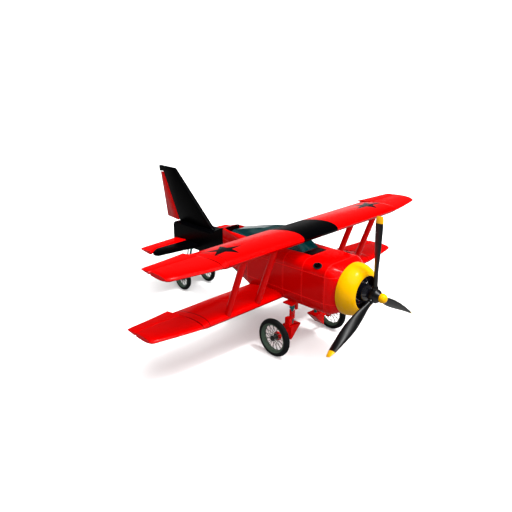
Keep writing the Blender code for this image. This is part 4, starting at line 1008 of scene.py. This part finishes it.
def swelled(name, low, high, face, rounding=0.020):
    """A pad. face is the axis, 1 or 2, that its sewn side looks along."""
    pad = rounded_block(name, low, high, rounding)
    pad.data.remesh_voxel_size = VOXEL
    bpy.ops.object.voxel_remesh()
    middle = [(a + b) / 2 for a, b in zip(low, high)]
    rest = [corner.co.copy() for corner in pad.data.vertices]
    sewn = pad.vertex_groups.new(name="sewn")
    across = [i for i, spot in enumerate(rest) if min(abs(spot.x - x) for x in CHANNELS) < SEAM_PIN]
    round_edge = [i for i, spot in enumerate(rest) if abs(spot[face] - middle[face]) < SEAM_PIN
                  and (min(spot.x - low[0], high[0] - spot.x) < EDGE_BAND
                       or min(spot[3 - face] - low[3 - face], high[3 - face] - spot[3 - face]) < EDGE_BAND)]
    sewn.add(across + round_edge, 1.0, "REPLACE")
    cloth = pad.modifiers.new("swell", "CLOTH")
    cloth.settings.use_pressure = True
    cloth.settings.uniform_pressure_force = PRESSURE
    cloth.settings.vertex_group_mass = "sewn"
    cloth.settings.effector_weights.gravity = 0.0
    for step in range(1, CLOTH_STEPS + 1):
        bpy.context.scene.frame_set(step)
    bpy.ops.object.modifier_apply(modifier="swell")
    bpy.context.scene.frame_set(1)
    for corner, start in zip(pad.data.vertices, rest):
        move = corner.co - start
        if move.length > SWELL_CAP:
            corner.co = start + move * (SWELL_CAP / move.length)
    fine = pad.modifiers.new("fine", "SUBSURF")
    fine.levels = fine.render_levels = 1
    bpy.ops.object.modifier_apply(modifier="fine")
    bpy.ops.object.shade_smooth()
    park(pad, AIRFRAME, leather, ("seat",))
    return len(pad.data.vertices)


inset = 0.016
count = swelled("seat_cushion", (-SEAT_HALF + inset, SEAT_FRONT + inset, -0.044),
                (SEAT_HALF - inset, -0.085 - inset, 0.018), 2)
count += swelled("seat_back_pad", (-SEAT_HALF + inset, -0.070, 0.050),
                 (SEAT_HALF - inset, SEAT_REAR - inset, 0.464), 1)
seat_box = rounded_block("seat_box", (-0.150, -0.355, -0.3317), (0.150, -0.055, -0.062), 0.006)
park(seat_box, AIRFRAME, dark_casting, ("seat",))
print("pads with", count, "points")

# %% [markdown]
# ## Instruments
#
# Eight round instruments sit on the panel. Each is a turned rim with a black face and a pale hand.

# %% Dials
PANEL_FACE = -0.990
DIALS = [(x, 0.400, 0.040) for x in (-0.190, -0.095, 0.0, 0.095, 0.190)]
DIALS += [(x, 0.280, 0.046) for x in (-0.130, 0.0, 0.130)]
rims, faces, hands = [], [], []
for k, (x, z, radius) in enumerate(DIALS):
    spot = axis_at((x, PANEL_FACE + 0.0004, z), (0, 1, 0))
    rim = [(0.0, radius - 0.007), (0.0, radius), (0.006, radius - 0.001), (0.007, radius - 0.004),
           (0.0035, radius - 0.007), (0.0, radius - 0.007)]
    rims.append(turned("dial_rim", rim, spot, 32))
    face = [(0.0, 0.0), (0.0, radius - 0.0075), (0.0018, radius - 0.0075), (0.0018, 0.0)]
    faces.append(turned("dial_face", face, spot, 32))
    hand = rounded_block("dial_hand", (-0.0012, -0.006, 0.0021), (0.0012, radius * 0.72, 0.0029), 0.0003)
    hand.matrix_world = spot @ Matrix.Rotation(radians(40 * k - 120), 4, "Z")
    hands.append(hand)
park(together(rims, "dial_rims"), AIRFRAME, bright_steel)
park(together(faces, "dial_faces"), AIRFRAME, dial_black)
park(together(hands, "dial_hands"), AIRFRAME, dial_white)
print(len(DIALS), "dials")

# %% [markdown]
# ## Rivets
#
# Round-headed rivets hold the skin to two stringers on each side and to a frame behind every seam. Each
# is a low dome that catches light from above, and its paint is a lighter red than the skin: a painted
# highlight. One is turned and copied along the rows.

# %% Rivet rows
RIVET_RADIUS, RIVET_HEIGHT = 0.0080, 0.0032
RIVET_STEP = 0.046
ROW_START, ROW_COUNT, FRAME_COUNT = -1.665, 37, 8
FRAME_BEHIND = 0.024     # a frame's rivets stand this far behind its seam
BODY_HALF = 0.475
NECK_HALF, CABIN_END, NECK = 0.190, 0.060, 1.015
dome = [(-0.001, 0.0), (-0.001, RIVET_RADIUS)]
for i in range(1, 4):
    angle = pi / 2 * i / 3
    dome.append((RIVET_HEIGHT * sin(angle), RIVET_RADIUS * cos(angle) if i < 3 else 0.0))
rivet = turned("rivet", dome, Matrix.Identity(4), 8, 60)


def body_half(y):
    """Half the fuselage's width: straight to the cabin's end, and then narrowing to the tail boom."""
    share = max(0.0, (y - CABIN_END) / (NECK - CABIN_END))
    return BODY_HALF + (NECK_HALF - BODY_HALF) * share * (1.25 - 0.25 * share)


def row_of_rivets(name, spots):
    """Rivets on both sides. Each spot is (y, z) on the side of the fuselage."""
    bank = []
    for y, z in spots:
        slope = (body_half(y + 0.01) - body_half(y - 0.01)) / 0.02
        for sign in (-1, 1):
            out = Vector((sign, -slope, 0)).normalized()
            bank.append(copied(rivet, "rivet", axis_at((sign * body_half(y), y, z), out)))
    row = together(bank, name)
    park(row, AIRFRAME, rivet_highlight_paint)
    return len(bank)


# The rivets get the lighter red, a painted highlight.
rivet_highlight_paint = painted("rivet_highlight_paint", PAINTED_HIGHLIGHT_RED)
steps = [ROW_START + RIVET_STEP * i for i in range(ROW_COUNT)]
count = 0
for name, (low, rise) in zip(("rivets_upper", "rivets_lower"), LAPS):
    count += row_of_rivets(name, [(y, low + rise * y) for y in steps])
for k, y in enumerate(BAY_SEAMS[:3]):
    frame_row = [(y + FRAME_BEHIND, LAPS[1][0] + RIVET_STEP * i) for i in range(1, FRAME_COUNT + 1)]
    count += row_of_rivets(f"rivets_frame_{k}", frame_row)
bpy.data.objects.remove(rivet)
print(count, "rivets")

# %% [markdown]
# ## Floor and light
#
# The photograph shows bright, saturated tops, upright sides of a deeper red and a few small, sharp
# highlights. Two wide suns from above and ahead light the tops: one throws a soft shadow and one throws
# none, so that the lower wing isn't lost in the shadow of the upper. Neither shows in a reflection,
# because so wide a lamp would lay a haze over the paint. A third sun is narrow and makes the highlights.
# The floor looks pale to the camera and throws back less light than it shows, so the sides stay deep,
# and the sky is white to the camera and dim to the paint for the same reason. A single wide sun is
# simpler, but gives either the soft shade or the highlights, never both.

# %% Floor
FLOOR_SEEN, FLOOR_BOUNCE = 0.90, 0.25        # its shade to the camera, and to the light it throws back
bpy.ops.object.select_all(action="DESELECT")
bpy.ops.mesh.primitive_plane_add(size=800, location=(0, 0, 0))
floor = bpy.context.object
floor.name = "floor"
pale, tree, shader = new_finish("pale_floor", (0.76, 0.76, 0.76), 0.8, gloss=0.0)
eye = tree.nodes.new("ShaderNodeLightPath")
shade = mixed(tree, eye.outputs["Is Camera Ray"], (FLOOR_BOUNCE,) * 3, (FLOOR_SEEN,) * 3)
link(tree, shade, shader.inputs["Base Color"])
floor.data.materials.append(pale)

# %% Light
SKY_LIGHT, SKY_SEEN = 0.10, 1.2              # its strength for all rays, and what the camera sees on top
SOFT_SOURCE, SOFT_ENERGY, SOFT_WIDTH = (0.0, -0.50, 1.0), 3.0, 80


def sun(name, source, energy, width):
    """A sun lamp that shines from a direction, as wide as a number of degrees."""
    lamp = bpy.data.lights.new(name, "SUN")
    lamp.energy = energy
    lamp.angle = radians(width)
    holder = bpy.data.objects.new(name, lamp)
    holder.rotation_euler = (-Vector(source)).to_track_quat("-Z", "Y").to_euler()
    bpy.context.scene.collection.objects.link(holder)
    return holder


soft = sun("soft_sun", SOFT_SOURCE, SOFT_ENERGY, SOFT_WIDTH)
fill = sun("fill_sun", SOFT_SOURCE, SOFT_ENERGY, SOFT_WIDTH)
fill.data.use_shadow = False
for lamp in (soft, fill):
    lamp.visible_glossy = False
sun("glint_sun", (0.10, -0.35, 0.93), 2.2, 9)

world = bpy.data.worlds.new("studio")
bpy.context.scene.world = world
world.use_nodes = True
sky = world.node_tree.nodes["Background"]
sky.inputs["Color"].default_value = (1.0, 1.0, 1.0, 1.0)
seen = world.node_tree.nodes.new("ShaderNodeLightPath")
brightness = sums(world.node_tree, "MULTIPLY_ADD", seen.outputs["Is Camera Ray"], SKY_SEEN, SKY_LIGHT)
link(world.node_tree, brightness, sky.inputs["Strength"])
bpy.context.scene.view_settings.view_transform = "Standard"
print("three suns and a pale sky")
